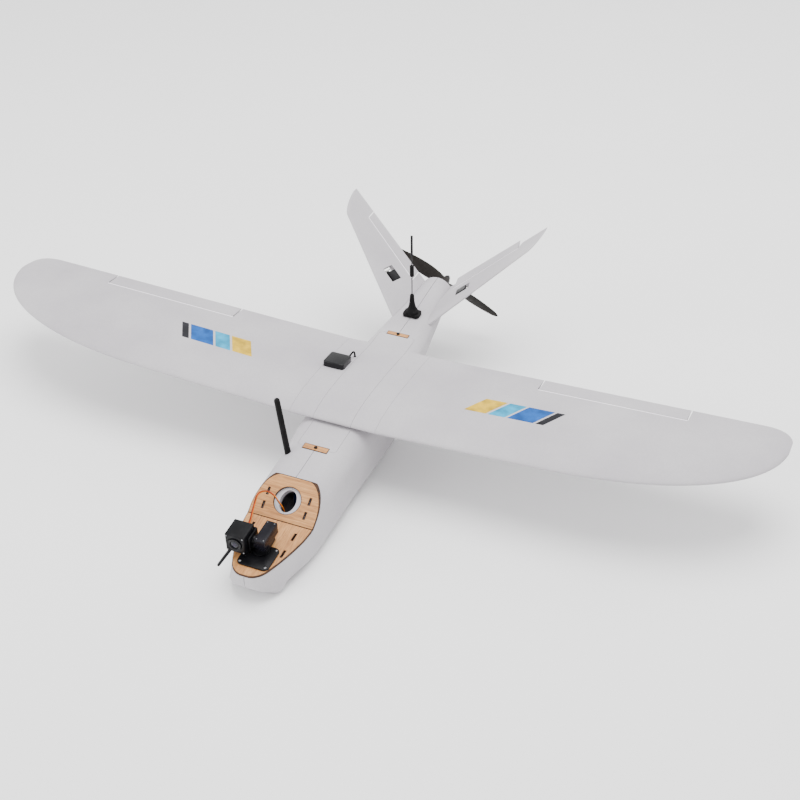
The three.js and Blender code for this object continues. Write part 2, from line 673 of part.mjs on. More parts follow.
function servoPocket(frame, link) {
  const half = link.thick / 2 + SERVO_GAP;
  return block(
    -link.deep - 2.6 - SERVO_GAP, ARM_THICKNESS + 4.5, -CASE_TO_SHAFT - 4,
    link.long - CASE_TO_SHAFT + SERVO_GAP, -60, half, servoFrame(frame, link),
  );
}

function servoCase(frame, link) {
  const place = servoFrame(frame, link);
  const half = link.thick / 2;
  const front = -CASE_TO_SHAFT;
  const box = roundedBlock(-link.deep - 2.6, -2.6, front, link.long + front, -half, half, 1, place);
  const boss = rod(
    new THREE.Vector3(-2.8, 0, 0).applyMatrix4(place),
    new THREE.Vector3(-0.4, 0, 0).applyMatrix4(place),
    2.4,
    12,
  );
  return box.add(boss);
}

// The wire from the arm to the horn, bent into both, carried along by the trim of the surface.
function pushrod(frame, link, trim) {
  const swing = THREE.MathUtils.degToRad(trim);
  const shift = new THREE.Vector3(0, Math.sin(swing) * link.arm, -Math.cos(swing) * link.arm);
  const lane = link.x + ARM_THICKNESS + 2;
  const ends = [
    new THREE.Vector3(lane, -link.reach, -link.drop).add(shift),
    new THREE.Vector3(lane, 0, 0).add(shift),
  ];
  const side = new THREE.Vector3(1, 0, 0).transformDirection(frame);
  const placed = ends.map((p) => p.applyMatrix4(frame));
  return placed.reduce(
    (all, p) =>
      all.add(
        rod(
          p.clone().addScaledVector(side, 0.9),
          p.clone().addScaledVector(side, -ARM_THICKNESS - 2.6),
          PIVOT - CLEARANCE,
          8,
        ),
      ),
    rod(placed[0], placed[1], 0.9, 8),
  );
}

// Adds the moving pieces of one surface on one side, and records its three joints.
function addLinkage(label, side, frame, link, trim, surface) {
  const right = side === "right";
  const turnSide = (made) => (right ? made.mirror([1, 0, 0]) : made);
  const hinge = chain(frame, at(link.x, 0, 0), turnX(trim));
  const swing = chain(servoFrame(frame, link), turnX(trim));
  const horn = hornPlate(hinge, link);
  add(`${label}_${side}`, turnSide(surface.subtract(hornSlot(hinge, link))), FOAM);
  add(`${label}_horn_${side}`, turnSide(horn), BLACK);
  add(`${label}_servo_${side}`, turnSide(servoCase(frame, link)), BLACK);
  add(`${label}_arm_${side}`, turnSide(armPlate(swing, link.arm)), WHITE_NYLON);
  add(`${label}_pushrod_${side}`, turnSide(pushrod(frame, link, trim)), STEEL);
  const flip = (p) => (right ? new THREE.Vector3(-p.x, p.y, p.z) : p);
  const axis = new THREE.Vector3(1, 0, 0).transformDirection(frame);
  if (right) axis.set(axis.x, -axis.y, -axis.z);
  const tip = new THREE.Vector3(0, 0, -link.arm).applyMatrix4(swing);
  joint(`${label}_servo_${side}`, flip(new THREE.Vector3().setFromMatrixPosition(swing)), axis);
  joint(`${label}_${side}`, flip(new THREE.Vector3().setFromMatrixPosition(hinge)), axis);
  joint(`${label}_pushrod_${side}`, flip(tip), axis);
}

// The horn's foot sits against the underside of the surface, in a shallow slot.
function hornSlot(frame, link) {
  return block(
    -CLEARANCE, ARM_THICKNESS + CLEARANCE, -1, 16, -60, -link.skin + CLEARANCE, frame,
  );
}

// ---------------------------------------------------------------- wings
const hingeY = (x) => trailingEdge(x) - AILERON_CHORD;
const hingePoint = (x) => new THREE.Vector3(x, hingeY(x), wingTop(x, hingeY(x)));
const wingHinge = hingeFrame(
  hingePoint(AILERON_INNER),
  hingePoint(AILERON_OUTER),
  new THREE.Vector3(0, 0, 1),
);
const panel = wingSolid(WING_ROOT_X + CLEARANCE);
const aileronBay = (spare) =>
  block(AILERON_INNER - spare, AILERON_OUTER + spare, 0, 300, 0, 300);
const wing = panel
  .subtract(behindHinge(wingHinge, false).intersect(aileronBay(HINGE_GAP)))
  .subtract(servoPocket(wingHinge, WING_LINK))
  .subtract(sparLine(0, SPAR_END + 1, SPAR / 2 + CLEARANCE));
addPair("wing", wing, FOAM);
const aileron = panel.intersect(behindHinge(wingHinge, true).intersect(aileronBay(-HINGE_GAP)));
for (const side of ["left", "right"]) {
  addLinkage("aileron", side, wingHinge, WING_LINK, 0, aileron);
}

// ---------------------------------------------------------------- V tail
const finFrame = new THREE.Matrix4().makeBasis(finAlong, finAft, finUp).setPosition(FIN_ROOT);
const finHingePoint = (s) => finPoint(s, finHinge(s), finTop(s, finHinge(s)));
const rudderHinge = hingeFrame(finHingePoint(RUDDER_INNER), finHingePoint(RUDDER_OUTER), finUp);
const rudderBay = (spare) =>
  block(RUDDER_INNER - spare, RUDDER_OUTER + spare, 0, 300, -90, 90, finFrame);
const fin = finSolid
  .subtract(spread)
  .subtract(behindHinge(rudderHinge, false).intersect(rudderBay(HINGE_GAP + 0.4)))
  .subtract(servoPocket(rudderHinge, FIN_LINK));
addPair("tail_fin", fin.decompose().sort((a, b) => b.volume() - a.volume())[0], FOAM);
const rudder = finSolid
  .intersect(behindHinge(rudderHinge, true).intersect(rudderBay(-HINGE_GAP)));
for (const side of ["left", "right"]) {
  const trim = RUDDER_TRIM[side];
  const back = rudderHinge.clone().invert();
  const moved = chain(rudderHinge, turnX(trim), back).toArray();
  const set = rudder.transform(moved);
  addLinkage("ruddervator", side, rudderHinge, FIN_LINK, trim, set);
}

// ---------------------------------------------------------------- motor and propeller
const MOUNT_Y = POD_Y - 21;
const MOTOR_BASE = { radius: 11, height: 4 };
const mount = shaftLine(MOUNT_Y, MOUNT_Y + PLY, MOTOR_WELL - 0.5)
  .add(shaftLine(MOUNT_Y + PLY, MOUNT_Y + PLY + MOTOR_BASE.height, MOTOR_BASE.radius))
  .subtract(shaftLine(0, 400, MOTOR.shaft / 2 + 0.7));
add("motor_mount", mount, BLACK);
const bellY = MOUNT_Y + PLY + MOTOR_BASE.height + 0.6;
const bellEnd = bellY + MOTOR.length;
const bell = shaftLine(bellY, bellEnd - 3, MOTOR.diameter / 2)
  .add(rod(new THREE.Vector3(0, bellEnd - 3, POD_Z), new THREE.Vector3(0, bellEnd, POD_Z), 14, 24, 9))
  .subtract(shaftLine(0, 400, MOTOR.shaft / 2 + CLEARANCE));
add("motor_bell", bell, STEEL);
const hubY = POD_Y + 29;
const hubEnd = hubY + 11;
const shaft = shaftLine(bellY + 2, hubEnd + 9, MOTOR.shaft / 2)
  .add(shaftLine(hubY - 9, hubY - CLEARANCE, 6));
add("prop_shaft", shaft, STEEL);

// One blade section: a thin lens turned by the local pitch.
function bladeRing(radius) {
  const share = radius / PROP_RADIUS;
  const chord = 9 + 13 * Math.sin(Math.PI * Math.min(share, 0.99) ** 0.8) + 2 * (1 - share);
  const width = share > 0.9 ? chord * Math.sqrt(Math.max(1 - ((share - 0.9) / 0.1) ** 2, 0.02)) : chord;
  const pitch = Math.atan2(22, radius + 12);
  const depth = 3.4 - 2.4 * share;
  const ring = [];
  for (let i = 0; i < 10; i += 1) {
    const turn = (2 * Math.PI * i) / 10;
    const across = (width / 2) * Math.cos(turn);
    const through = (depth / 2) * Math.sin(turn);
    ring.push(
      new THREE.Vector3(
        radius,
        through * Math.cos(pitch) - across * Math.sin(pitch),
        through * Math.sin(pitch) + across * Math.cos(pitch),
      ),
    );
  }
  return ring;
}
const blade = loft([5, 12, 24, 40, 60, 80, 95, 103, 108, PROP_RADIUS].map(bladeRing));
const hubMiddle = (hubY + hubEnd) / 2;
const bladeAt = (degrees) => {
  const place = chain(at(0, hubMiddle, POD_Z), turnY(degrees));
  return blade.transform(place.toArray());
};
const propeller = shaftLine(hubY, hubEnd, PROP_HUB / 2)
  .add(bladeAt(-PROP_ANGLE))
  .add(bladeAt(180 - PROP_ANGLE))
  .subtract(shaftLine(300, 420, MOTOR.shaft / 2 + CLEARANCE));
add("propeller", propeller, PROP_CARBON);
const spinner = turned(
  [[0, 0], [6, 0], [6, 4], [5, 8], [3, 12], [0, 14]],
  chain(at(0, hubEnd + CLEARANCE, POD_Z), turnX(-90)),
).subtract(shaftLine(300, hubEnd + 9.6, MOTOR.shaft / 2 + CLEARANCE));
add("spinner_nut", spinner, BLACK);
joint("propeller_spin", new THREE.Vector3(0, hubMiddle, POD_Z), new THREE.Vector3(0, 1, 0));

// ---------------------------------------------------------------- camera gimbal
const TILT = { y: 0, z: 21 };
const CAMERA_BOX = { x0: -41.5, y0: -22, z0: 10 };
add("pan_servo", roundedBlock(-6, 6, -17.5, 5.5, -28, -6.5, 1, gimbal)
  .add(rod(new THREE.Vector3(0, 0, -7).applyMatrix4(gimbal),
    new THREE.Vector3(0, 0, 2.4).applyMatrix4(gimbal), 2.4, 12)), BLACK);
const baseShape = roundedOutline(-23, 26, -33, 12, 8);
const baseHole = new THREE.Path();
baseHole.absarc(0, 0, PAN_HOLE, 0, 2 * Math.PI, true);
baseShape.holes.push(baseHole);
add("pan_base", plate(baseShape, 2.3, chain(gimbal, at(0, 0, CLEARANCE)), 5), BLACK);
const disc = turned([[0, 3], [13, 3], [13, 5.4], [0, 5.4]], gimbal);
const neck = roundedBlock(-3.5, 12, -8, 24, 5, 11.6, 2, gimbal);
add("pan_turret", disc.add(neck), BLACK);
const tiltServo = roundedBlock(-4, 12.5, -9, 33, 12, 30, 1.5, gimbal);
add("tilt_servo", tiltServo, GREY_PLASTIC);
const tiltLine = (from, to, radius, sides = 16) =>
  rod(
    new THREE.Vector3(from, TILT.y, TILT.z).applyMatrix4(gimbal),
    new THREE.Vector3(to, TILT.y, TILT.z).applyMatrix4(gimbal),
    radius,
    sides,
  );
const cradle = block(-11.2, -8.4, -13, 12.6, 13, 33, gimbal)
  .add(block(-40, -8.4, 10.4, 12.6, 13, 33, gimbal))
  .add(tiltLine(-8.6, -4.4, 6.5));
add("camera_cradle", cradle, BLACK);
const cameraBox = roundedBlock(
  CAMERA_BOX.x0, CAMERA_BOX.x0 + CAMERA.width, CAMERA_BOX.y0, CAMERA_BOX.y0 + CAMERA.depth,
  CAMERA_BOX.z0, CAMERA_BOX.z0 + CAMERA.height, 1.5, gimbal,
);
const lensMiddle = chain(
  gimbal,
  at(CAMERA_BOX.x0 + CAMERA.width / 2, CAMERA_BOX.y0, CAMERA_BOX.z0 + CAMERA.height / 2),
  turnX(90),
);
const lensSeat = turned([[0, -7], [10.5, -7], [10.5, 5], [0, 5]], lensMiddle);
add("camera_body", cameraBox.subtract(lensSeat), BLACK);
add("camera_lens", turned([[0, -6.6], [10, -6.6], [10, 2], [8, 2.6], [6.5, 1.2], [0, 1.8]], lensMiddle), GLASS);
joint(
  "camera_pan",
  new THREE.Vector3().setFromMatrixPosition(gimbal),
  new THREE.Vector3(0, 0, 1).transformDirection(gimbal),
);
joint(
  "camera_tilt",
  new THREE.Vector3(0, TILT.y, TILT.z).applyMatrix4(gimbal),
  new THREE.Vector3(1, 0, 0),
);

// The camera lead rises in a loop and goes down through the round hole to the receiver.
const LEAD_ROUTE = [
  [-37, -281, 58.9], [-39, -269, 61], [-39.6, -255, 76], [-38.4, -243.5, 88], [-28.5, -237.5, 92],
  [-16.5, -237, 88], [-9.5, -235.5, 76], [-6, -232, 64], [-5, -229, 50], [-4, -226, 36], [-3, -223, 24],
];
add("camera_lead", tube(LEAD_ROUTE.map((p) => new THREE.Vector3(...p)), 1.8, 34), LEAD);

// ---------------------------------------------------------------- antennas and GPS
const WHIP = { y: 242.5, foot: 112.7, height: 149, coil: 74, lean: -0.8 };
const whipFrame = chain(at(0, WHIP.y, WHIP.foot), turnY(WHIP.lean));
const whipRod = (from, to, radius) =>
  rod(
    new THREE.Vector3(0, 0, from).applyMatrix4(whipFrame),
    new THREE.Vector3(0, 0, to).applyMatrix4(whipFrame),
    radius,
    12,
  );
const whipCone = turned([[0, 3], [10.5, 3], [10, 9], [7, 14], [4.6, 24], [3.4, 39], [0, 39]], whipFrame);
add("antenna_base", whipCone.add(roundedBlock(-14, 14, -10.3, 10.3, 0.3, 5, 5, whipFrame)), BLACK);
const whip = whipRod(39 + CLEARANCE, WHIP.height - 6, 0.9)
  .add(whipRod(WHIP.coil, WHIP.coil + 20, 3.6))
  .add(whipRod(WHIP.height - 36, WHIP.height, 2.1));
add("antenna_whip", whip, STEEL);
add("stub_antenna", stubRod(-14, 95, 4.7), BLACK);
add("pitot_tube", pitotRod(PITOT.from, PITOT.to, PITOT.radius), BLACK);
add("gps_module", gpsBox(0, GPS.height), BLACK);
const cableStart = new THREE.Vector3(GPS.width / 2 - 5, GPS.length / 2 + 0.9, 8).applyMatrix4(gpsFrame);
const CABLE_ROUTE = [
  cableStart,
  cableStart.clone().add(new THREE.Vector3(0, 5, 1)),
  new THREE.Vector3(GPS_EXIT.x, GPS_EXIT.y - 5, 127),
  new THREE.Vector3(GPS_EXIT.x, GPS_EXIT.y, 118),
  new THREE.Vector3(GPS_EXIT.x, GPS_EXIT.y, 96),
  new THREE.Vector3(-30, 86, 60),
  new THREE.Vector3(-22, 78, 40),
];
add("gps_cable", tube(CABLE_ROUTE, 1.5, 30), BLACK);

// ---------------------------------------------------------------- electronics in the bay
add("battery", roundedBlock(-22, 22, -168, -28, SKIN + CLEARANCE, SKIN + 30, 3), PACK);
add("receiver", roundedBlock(-12, 12, -236, -190, SKIN + CLEARANCE, SKIN + 12, 1.5), BLACK);
add("flight_controller", roundedBlock(-28, 8, 46, 86, 25, 38, 2), BOARD);
add("speed_controller", roundedBlock(-13, 13, 228, 278, 74, 82, 1.5), BLACK);
add("video_transmitter", roundedBlock(-43, -24, -174, -132, 60, 72, 1.5), STEEL);

model.userData.joints = joints;
model.userData.surfaceRange = SURFACE_RANGE;
export default model;
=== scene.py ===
"""Fixed wing drone: the looks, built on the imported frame. Sizes are in millimetres until a mesh is made."""
import json
import math

import bmesh
import bpy
from mathutils import Matrix, Vector


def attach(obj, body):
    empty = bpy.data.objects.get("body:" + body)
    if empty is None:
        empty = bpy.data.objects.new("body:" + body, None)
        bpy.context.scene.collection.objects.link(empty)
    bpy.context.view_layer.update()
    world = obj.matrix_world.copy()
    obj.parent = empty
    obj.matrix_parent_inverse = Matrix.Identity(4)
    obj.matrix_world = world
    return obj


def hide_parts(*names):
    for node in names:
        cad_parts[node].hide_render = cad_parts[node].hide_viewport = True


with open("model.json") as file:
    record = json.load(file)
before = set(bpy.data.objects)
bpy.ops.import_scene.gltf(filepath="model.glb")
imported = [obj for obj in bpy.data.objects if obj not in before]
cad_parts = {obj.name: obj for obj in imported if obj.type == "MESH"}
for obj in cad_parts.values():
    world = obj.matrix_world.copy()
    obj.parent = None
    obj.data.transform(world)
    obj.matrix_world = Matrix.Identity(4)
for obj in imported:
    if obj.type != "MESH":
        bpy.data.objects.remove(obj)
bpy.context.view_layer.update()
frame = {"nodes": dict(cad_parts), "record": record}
BODY_OF = {n: b for b, ns in frame["record"]["behaviour"]["bodies"].items() for n in ns}
MM = 0.001
SIDES = ("left", "right")

# ---------------------------------------------------------------- camera
camera_data = bpy.data.cameras.new("camera")
camera_data.lens = 66.93
camera_data.sensor_width = 36
camera = bpy.data.objects.new("camera", camera_data)
bpy.context.scene.collection.objects.link(camera)
azimuth, elevation, roll = (math.radians(v) for v in (22.585, 36.172, 0.179))
back = Vector((
    math.sin(azimuth) * math.cos(elevation), -math.cos(azimuth) * math.cos(elevation), math.sin(elevation),
))
level = Vector((math.cos(azimuth), math.sin(azimuth), 0))
rise = back.cross(level)
right = math.cos(roll) * level + math.sin(roll) * rise
above = math.cos(roll) * rise - math.sin(roll) * level
camera.matrix_world = Matrix.Translation((0.7767, -1.67609, 1.45104)) @ Matrix(
    (right, above, back)
).transposed().to_4x4()
bpy.context.scene.camera = camera

# ---------------------------------------------------------------- sizes, as in the CAD
GAP = 0.3
SKIN = 9
PLY = 3
POD_Y, POD_Z, POD_RADIUS = 357, 92.5, 27.5
HALF_SPAN, ROOT_X = 650, 70
LE_Y, TE_Y, TE_SWEEP = -75, 145.9, -0.0215
WING_Z, DIHEDRAL, RISE = 107.5, 0.052, 2.6
WING_THICKNESS, CAMBER = 0.086, 0.014
LE_STRAIGHT_END, TE_STRAIGHT_END, TIP_Y = 320, 600, 92
TIP_START, TIP_REACH = 560, 89
AILERON_INNER, AILERON_OUTER, AILERON_CHORD = 263, 495, 32
HINGE_GAP, BEVEL = 0.6, 35
FIN_ROOT = Vector((29.8, 234.2, 104.2))
FIN_ANGLE, FIN_PITCH = math.radians(39), math.radians(2.4)
FIN_LE_C, FIN_LE_SLOPE, FIN_CORNER, FIN_SPAN = -2, 0.636, 170, 191
FIN_FOOT, FIN_TIP_REACH = -22, 20.4
FIN_TE_C, FIN_TE_SLOPE, FIN_THICKNESS = 126, 0.254, 0.088
RUDDER_INNER, RUDDER_OUTER = 15, 141
RUDDER_HINGE_C, RUDDER_HINGE_SLOPE = 98.5, 0.296
RUDDER_TRIM = {"left": 14, "right": 0}
DECK_BREAK = Vector((0, -254, 58.6))
DECK_TOP_Y, DECK_TOP_Z, NOSE_Y, NOSE_DECK_Z = -198, 96.2, -366.5, 50
PORT_INSET, PORT_RADIUS = 36, 20.5
BULKHEAD_THICKNESS, OVAL_HALF_X, OVAL_HALF_Y = 9, 12.5, 17
HOLLOW_FRONT, HOLLOW_REAR = -342, 326
SLOT_X, SLOT_HALF_WIDTH = 33, 1.3
SEAM_HALF_WIDTH, SEAM_DEPTH = 0.45, 1.3
PROBE_X, PROBE_Z = -44.5, 45
GPS_CABLE_X, GPS_CABLE_Y = -36, 91
# Rounded boxes: both sides in X, both ends in Y, both heights, corner radius.
HATCH_OPENING = (-31, 31, -131, 181, 80, 160, 6)
HATCH_LID = (-30.6, 30.6, -130.6, 180.6, 80, 160, 5.6)
# Fuselage sections: Y, half width, top, bottom, upper radius, lower radius, flare of the foot.
STATIONS = [
    (NOSE_Y, 5, 84, 31, 3, 3, 3),
    (-364.5, 10, 86, 26, 6, 5, 5),
    (-358, 18, 88, 18, 12, 6, 7),
    (-347, 24.4, 89, 11, 18, 7, 9.6),
    (-335, 30.5, 89.9, 2.5, 23, 7, 9),
    (-316, 38.4, 91, 5, 30, 14, 5),
    (-295, 44.6, 92, 4, 32, 18, 4),
    (-273, 49.2, 93, 1.6, 32, 20, 3.8),
    (-240, 52, 95, 0, 33, 20, 3.5),
    (-190, 53, 97, 0, 33, 22, 3),
    (-131, 54, 101.4, 0, 32, 26, 2),
    (-62, 59, 104.5, 0, 30, 31, 0),
    (18, 60, 107, 0, 28, 32, 0),
    (80, 56, 108.5, 11, 24, 31, 0),
    (150, 47, 110, 31, 20, 28, 0),
    (210, 41, 111, 50, 20, 27, 0),
    (262, 36, 112.5, 62, 21, 25, 0),
    (315, 30, 117, 67, 24, 25, 0),
    (POD_Y, POD_RADIUS, POD_Z + POD_RADIUS, POD_Z - POD_RADIUS, 27.3, 27.3, 0),
]


# ---------------------------------------------------------------- mesh helpers
def shift(x, y, z):
    return Matrix.Translation((x, y, z))


def turn(degrees, axis):
    return Matrix.Rotation(math.radians(degrees), 4, axis)


def make(name, points, faces):
    """A mesh object from points in millimetres."""
    mesh = bpy.data.meshes.new(name)
    mesh.from_pydata([Vector(p) * MM for p in points], [], faces)
    tidy = bmesh.new()
    tidy.from_mesh(mesh)
    bmesh.ops.recalc_face_normals(tidy, faces=tidy.faces)
    tidy.to_mesh(mesh)
    tidy.free()
    obj = bpy.data.objects.new(name, mesh)
    bpy.context.scene.collection.objects.link(obj)
    return obj


def loft(name, rings):
    """A closed solid through rings of equal point count."""
    count = len(rings[0])
    points = [p for ring in rings for p in ring]
    faces = []
    for ring in range(len(rings) - 1):
        for i in range(count):
            a, b = ring * count + i, ring * count + (i + 1) % count
            faces.append((a, b, b + count, a + count))
    for base in (0, (len(rings) - 1) * count):
        middle = sum((Vector(p) for p in points[base:base + count]), Vector()) / count
        points.append(middle)
        faces += [(base + i, base + (i + 1) % count, len(points) - 1) for i in range(count)]
    return make(name, points, faces)


def block(x0, x1, y0, y1, z0, z1, matrix=Matrix()):
    corners = [matrix @ Vector((x, y, z)) for x in (x0, x1) for y in (y0, y1) for z in (z0, z1)]
    faces = [(0, 1, 3, 2), (4, 6, 7, 5), (0, 4, 5, 1), (2, 3, 7, 6), (0, 2, 6, 4), (1, 5, 7, 3)]
    return make("block", corners, faces)


def turned(profile, matrix=Matrix(), sides=48, name="turned"):
    """A turned solid about the matrix's Z, from [radius, height] pairs off the axis."""
    rings = []
    for radius, height in profile:
        spin = [2 * math.pi * i / sides for i in range(sides)]
        rings.append([matrix @ Vector((radius * math.cos(a), radius * math.sin(a), height)) for a in spin])
    return loft(name, rings)


def along(start, end):
    """A frame at start whose Z points to end."""
    aim = Vector(end) - Vector(start)
    return shift(*start) @ aim.to_track_quat("Z", "Y").to_matrix().to_4x4()


def rod(start, end, radius, sides=24, name="rod"):
    length = (Vector(end) - Vector(start)).length
    return turned([(radius, 0), (radius, length)], along(start, end), sides, name)


def tube(points, radius, name, sides=14, steps=8):
    """A tube on a smooth route through the points."""
    route = []
    for i in range(len(points) - 1):
        a, b = Vector(points[max(i - 1, 0)]), Vector(points[i])
        c, d = Vector(points[i + 1]), Vector(points[min(i + 2, len(points) - 1)])
        for k in range(steps):
            t = k / steps
            route.append(0.5 * (
                2 * b + (c - a) * t + (2 * a - 5 * b + 4 * c - d) * t * t + (3 * b - a - 3 * c + d) * t ** 3
            ))
    route.append(Vector(points[-1]))
    rings = []
    side = Vector((1, 0, 0.1))
    for i, p in enumerate(route):
        aim = (route[min(i + 1, len(route) - 1)] - route[max(i - 1, 0)]).normalized()
        side = (side - aim * side.dot(aim)).normalized()
        up = aim.cross(side)
        spin = [2 * math.pi * k / sides for k in range(sides)]
        rings.append([p + radius * (math.cos(a) * side + math.sin(a) * up) for a in spin])
    return loft(name, rings)


def mirrored(obj, name):
    """A copy of obj on the other side of the centre plane."""
    mesh = obj.data.copy()
    mesh.transform(Matrix.Scale(-1, 4, (1, 0, 0)))
    mesh.flip_normals()
    copy = bpy.data.objects.new(name, mesh)
    bpy.context.scene.collection.objects.link(copy)
    return copy


def copied(obj, name):
    copy = bpy.data.objects.new(name, obj.data.copy())
    bpy.context.scene.collection.objects.link(copy)
    return copy


def bake(obj):
    """Applies the object's modifiers."""
    bpy.context.view_layer.update()
    shape = obj.evaluated_get(bpy.context.evaluated_depsgraph_get())
    mesh = bpy.data.meshes.new_from_object(shape)
    obj.modifiers.clear()
    obj.data = mesh
    return obj


def combine(obj, tools, operation):
    for tool in tools:
        step = obj.modifiers.new("step", "BOOLEAN")
        step.object = tool
        step.operation = operation
        step.solver = "MANIFOLD"
        bake(obj)
        bpy.data.objects.remove(tool)
    return obj


def cut(obj, *tools):
    return combine(obj, tools, "DIFFERENCE")


def keep(obj, *tools):
    return combine(obj, tools, "INTERSECT")


def join(obj, *tools):
    return combine(obj, tools, "UNION")


def smooth(obj, degrees=32):
    obj.data.shade_smooth()
    obj.data.set_sharp_from_angle(angle=math.radians(degrees))


def soften(obj, width, segments=2, degrees=35):
    """Rounds the sharp edges of obj, after joining the flat triangles of its faces."""
    edit = bmesh.new()
    edit.from_mesh(obj.data)
    bmesh.ops.remove_doubles(edit, verts=edit.verts, dist=2e-6)
    bmesh.ops.dissolve_limit(edit, angle_limit=math.radians(1), verts=edit.verts, edges=edit.edges)
    edit.to_mesh(obj.data)
    edit.free()
    if width:
        bevel = obj.modifiers.new("bevel", "BEVEL")
        bevel.width = width * MM
        bevel.segments = segments
        bevel.limit_method = "ANGLE"
        bevel.angle_limit = math.radians(degrees)
        bevel.harden_normals = False
        bake(obj)
    smooth(obj)
    return obj


# ---------------------------------------------------------------- materials
class Paint:
    """A node material: a colour, a roughness and a bump are built up on one shader."""

    def __init__(self, name, roughness, metallic=0.0, coat=0.0, specular=0.5, scale=1.0):
        self.material = bpy.data.materials.new(name)
        self.material.use_nodes = True
        self.tree = self.material.node_tree
        self.shader = self.tree.nodes["Principled BSDF"]
        self.shader.inputs["Roughness"].default_value = roughness
        self.shader.inputs["Metallic"].default_value = metallic
        self.shader.inputs["Coat Weight"].default_value = coat
        self.shader.inputs["Specular IOR Level"].default_value = specular
        place = self.tree.nodes.new("ShaderNodeTexCoord").outputs["Object"]
        self.place = self.stretch(place, (scale, scale, scale))
        self.height = None

    def node(self, kind, inputs=None, **settings):
        made = self.tree.nodes.new("ShaderNode" + kind)
        for key, value in settings.items():
            setattr(made, key, value)
        for key, value in (inputs or {}).items():
            if hasattr(value, "links"):
                self.tree.links.new(value, made.inputs[key])
            else:
                made.inputs[key].default_value = value
        return made

    def stretch(self, place, factors, turned_by=(0, 0, 0)):
        return self.node("Mapping", {"Vector": place, "Scale": factors, "Rotation": turned_by}).outputs[0]

    def noise(self, scale, detail=4.0, place=None, distortion=0.0):
        inputs = {"Vector": place or self.place, "Scale": scale, "Detail": detail, "Distortion": distortion}
        return self.node("TexNoise", inputs).outputs["Fac"]

    def ramp(self, factor, *stops):
        made = self.node("ValToRGB", {"Fac": factor})
        made.color_ramp.elements.remove(made.color_ramp.elements[1])
        for i, (position, colour) in enumerate(stops):
            stop = made.color_ramp.elements[0] if i == 0 else made.color_ramp.elements.new(position)
            stop.position = position
            stop.color = (*colour, 1) if hasattr(colour, "__len__") else (colour, colour, colour, 1)
        return made.outputs["Color"]

    def mix(self, factor, a, b, mode="MIX"):
        made = self.node("Mix", data_type="RGBA", blend_type=mode)
        for key, value in (("Factor", factor), ("A", a), ("B", b)):
            socket = [s for s in made.inputs if s.name == key and s.enabled][0]
            if hasattr(value, "links"):
                self.tree.links.new(value, socket)
            elif key == "Factor":
                socket.default_value = value
            else:
                socket.default_value = (*value, 1)
        return [s for s in made.outputs if s.enabled][0]

    def colour(self, value):
        self.tree.links.new(value, self.shader.inputs["Base Color"])

    def roughness(self, factor, low, high):
        spread = self.node("MapRange", {"Value": factor, "To Min": low, "To Max": high})
        self.tree.links.new(spread.outputs[0], self.shader.inputs["Roughness"])

    def bump(self, factor, distance, strength=1.0):
        inputs = {"Height": factor, "Distance": distance, "Strength": strength}
        if self.height:
            inputs["Normal"] = self.height
        self.height = self.node("Bump", inputs).outputs["Normal"]
        self.tree.links.new(self.height, self.shader.inputs["Normal"])


def beads(paint, size):
    """Cells of a moulded bead foam: (a value per bead, closeness to the bead's edge)."""
    inputs = {"Vector": paint.place, "Scale": 1 / size, "Randomness": 0.9}
    cell = paint.node("TexVoronoi", inputs, feature="F1")
    edge = paint.node("TexVoronoi", inputs, feature="DISTANCE_TO_EDGE")
    return cell.outputs["Color"], edge.outputs["Distance"]


def foam_paint(name="foam", light=0.49, dark=0.425):
    """Moulded bead foam: broad soft shading, beads with darker edges and a few spots."""
    paint = Paint(name, 0.62, specular=0.35)
    cell, edge = beads(paint, 0.0034)
    low = (dark, dark * 0.945, dark * 1.01)
    high = (light, light * 0.965, light * 1.0)
    broad = paint.ramp(paint.noise(9, 3), (0.3, low), (0.7, high))
    tint = paint.ramp(cell, (0.0, 0.955), (1.0, 1.0))
    seam = paint.ramp(edge, (0.0, 0.955), (0.09, 1.0))
    spots = paint.ramp(paint.noise(120, 2), (0.70, 1.0), (0.80, 0.94))
    beaded = paint.mix(1, paint.mix(1, broad, tint, "MULTIPLY"), seam, "MULTIPLY")
    paint.colour(paint.mix(1, beaded, spots, "MULTIPLY"))
    paint.roughness(paint.noise(300, 2), 0.52, 0.72)
    paint.bump(paint.ramp(edge, (0.0, 0.0), (0.14, 1.0)), 0.00012, 0.55)
    paint.bump(paint.noise(900, 3), 0.00005, 0.5)
    return paint.material


def wood_paint(name, along_x=False):
    """Laser-cut plywood: long grain streaks, pores and a few darker patches."""
    paint = Paint(name, 0.5, specular=0.4)
    factors = (26, 420, 420) if along_x else (420, 26, 300)
    grain = paint.noise(1, 6, paint.stretch(paint.place, factors), 0.6)
    pores = paint.noise(1, 3, paint.stretch(paint.place, tuple(f * 3 for f in factors)))
    patches = paint.noise(22, 3)
    base = paint.ramp(
        grain, (0.25, (0.30, 0.130, 0.040)), (0.5, (0.50, 0.240, 0.082)), (0.75, (0.64, 0.345, 0.132)),
    )
    shade = paint.ramp(patches, (0.3, (0.80, 0.72, 0.64)), (0.65, (1.0, 1.0, 1.0)))
    dots = paint.ramp(pores, (0.30, (0.62, 0.52, 0.44)), (0.42, (1.0, 1.0, 1.0)))
    paint.colour(paint.mix(1, paint.mix(1, base, shade, "MULTIPLY"), dots, "MULTIPLY"))
    paint.roughness(grain, 0.42, 0.6)
    paint.bump(grain, 0.00012, 0.35)
    return paint.material


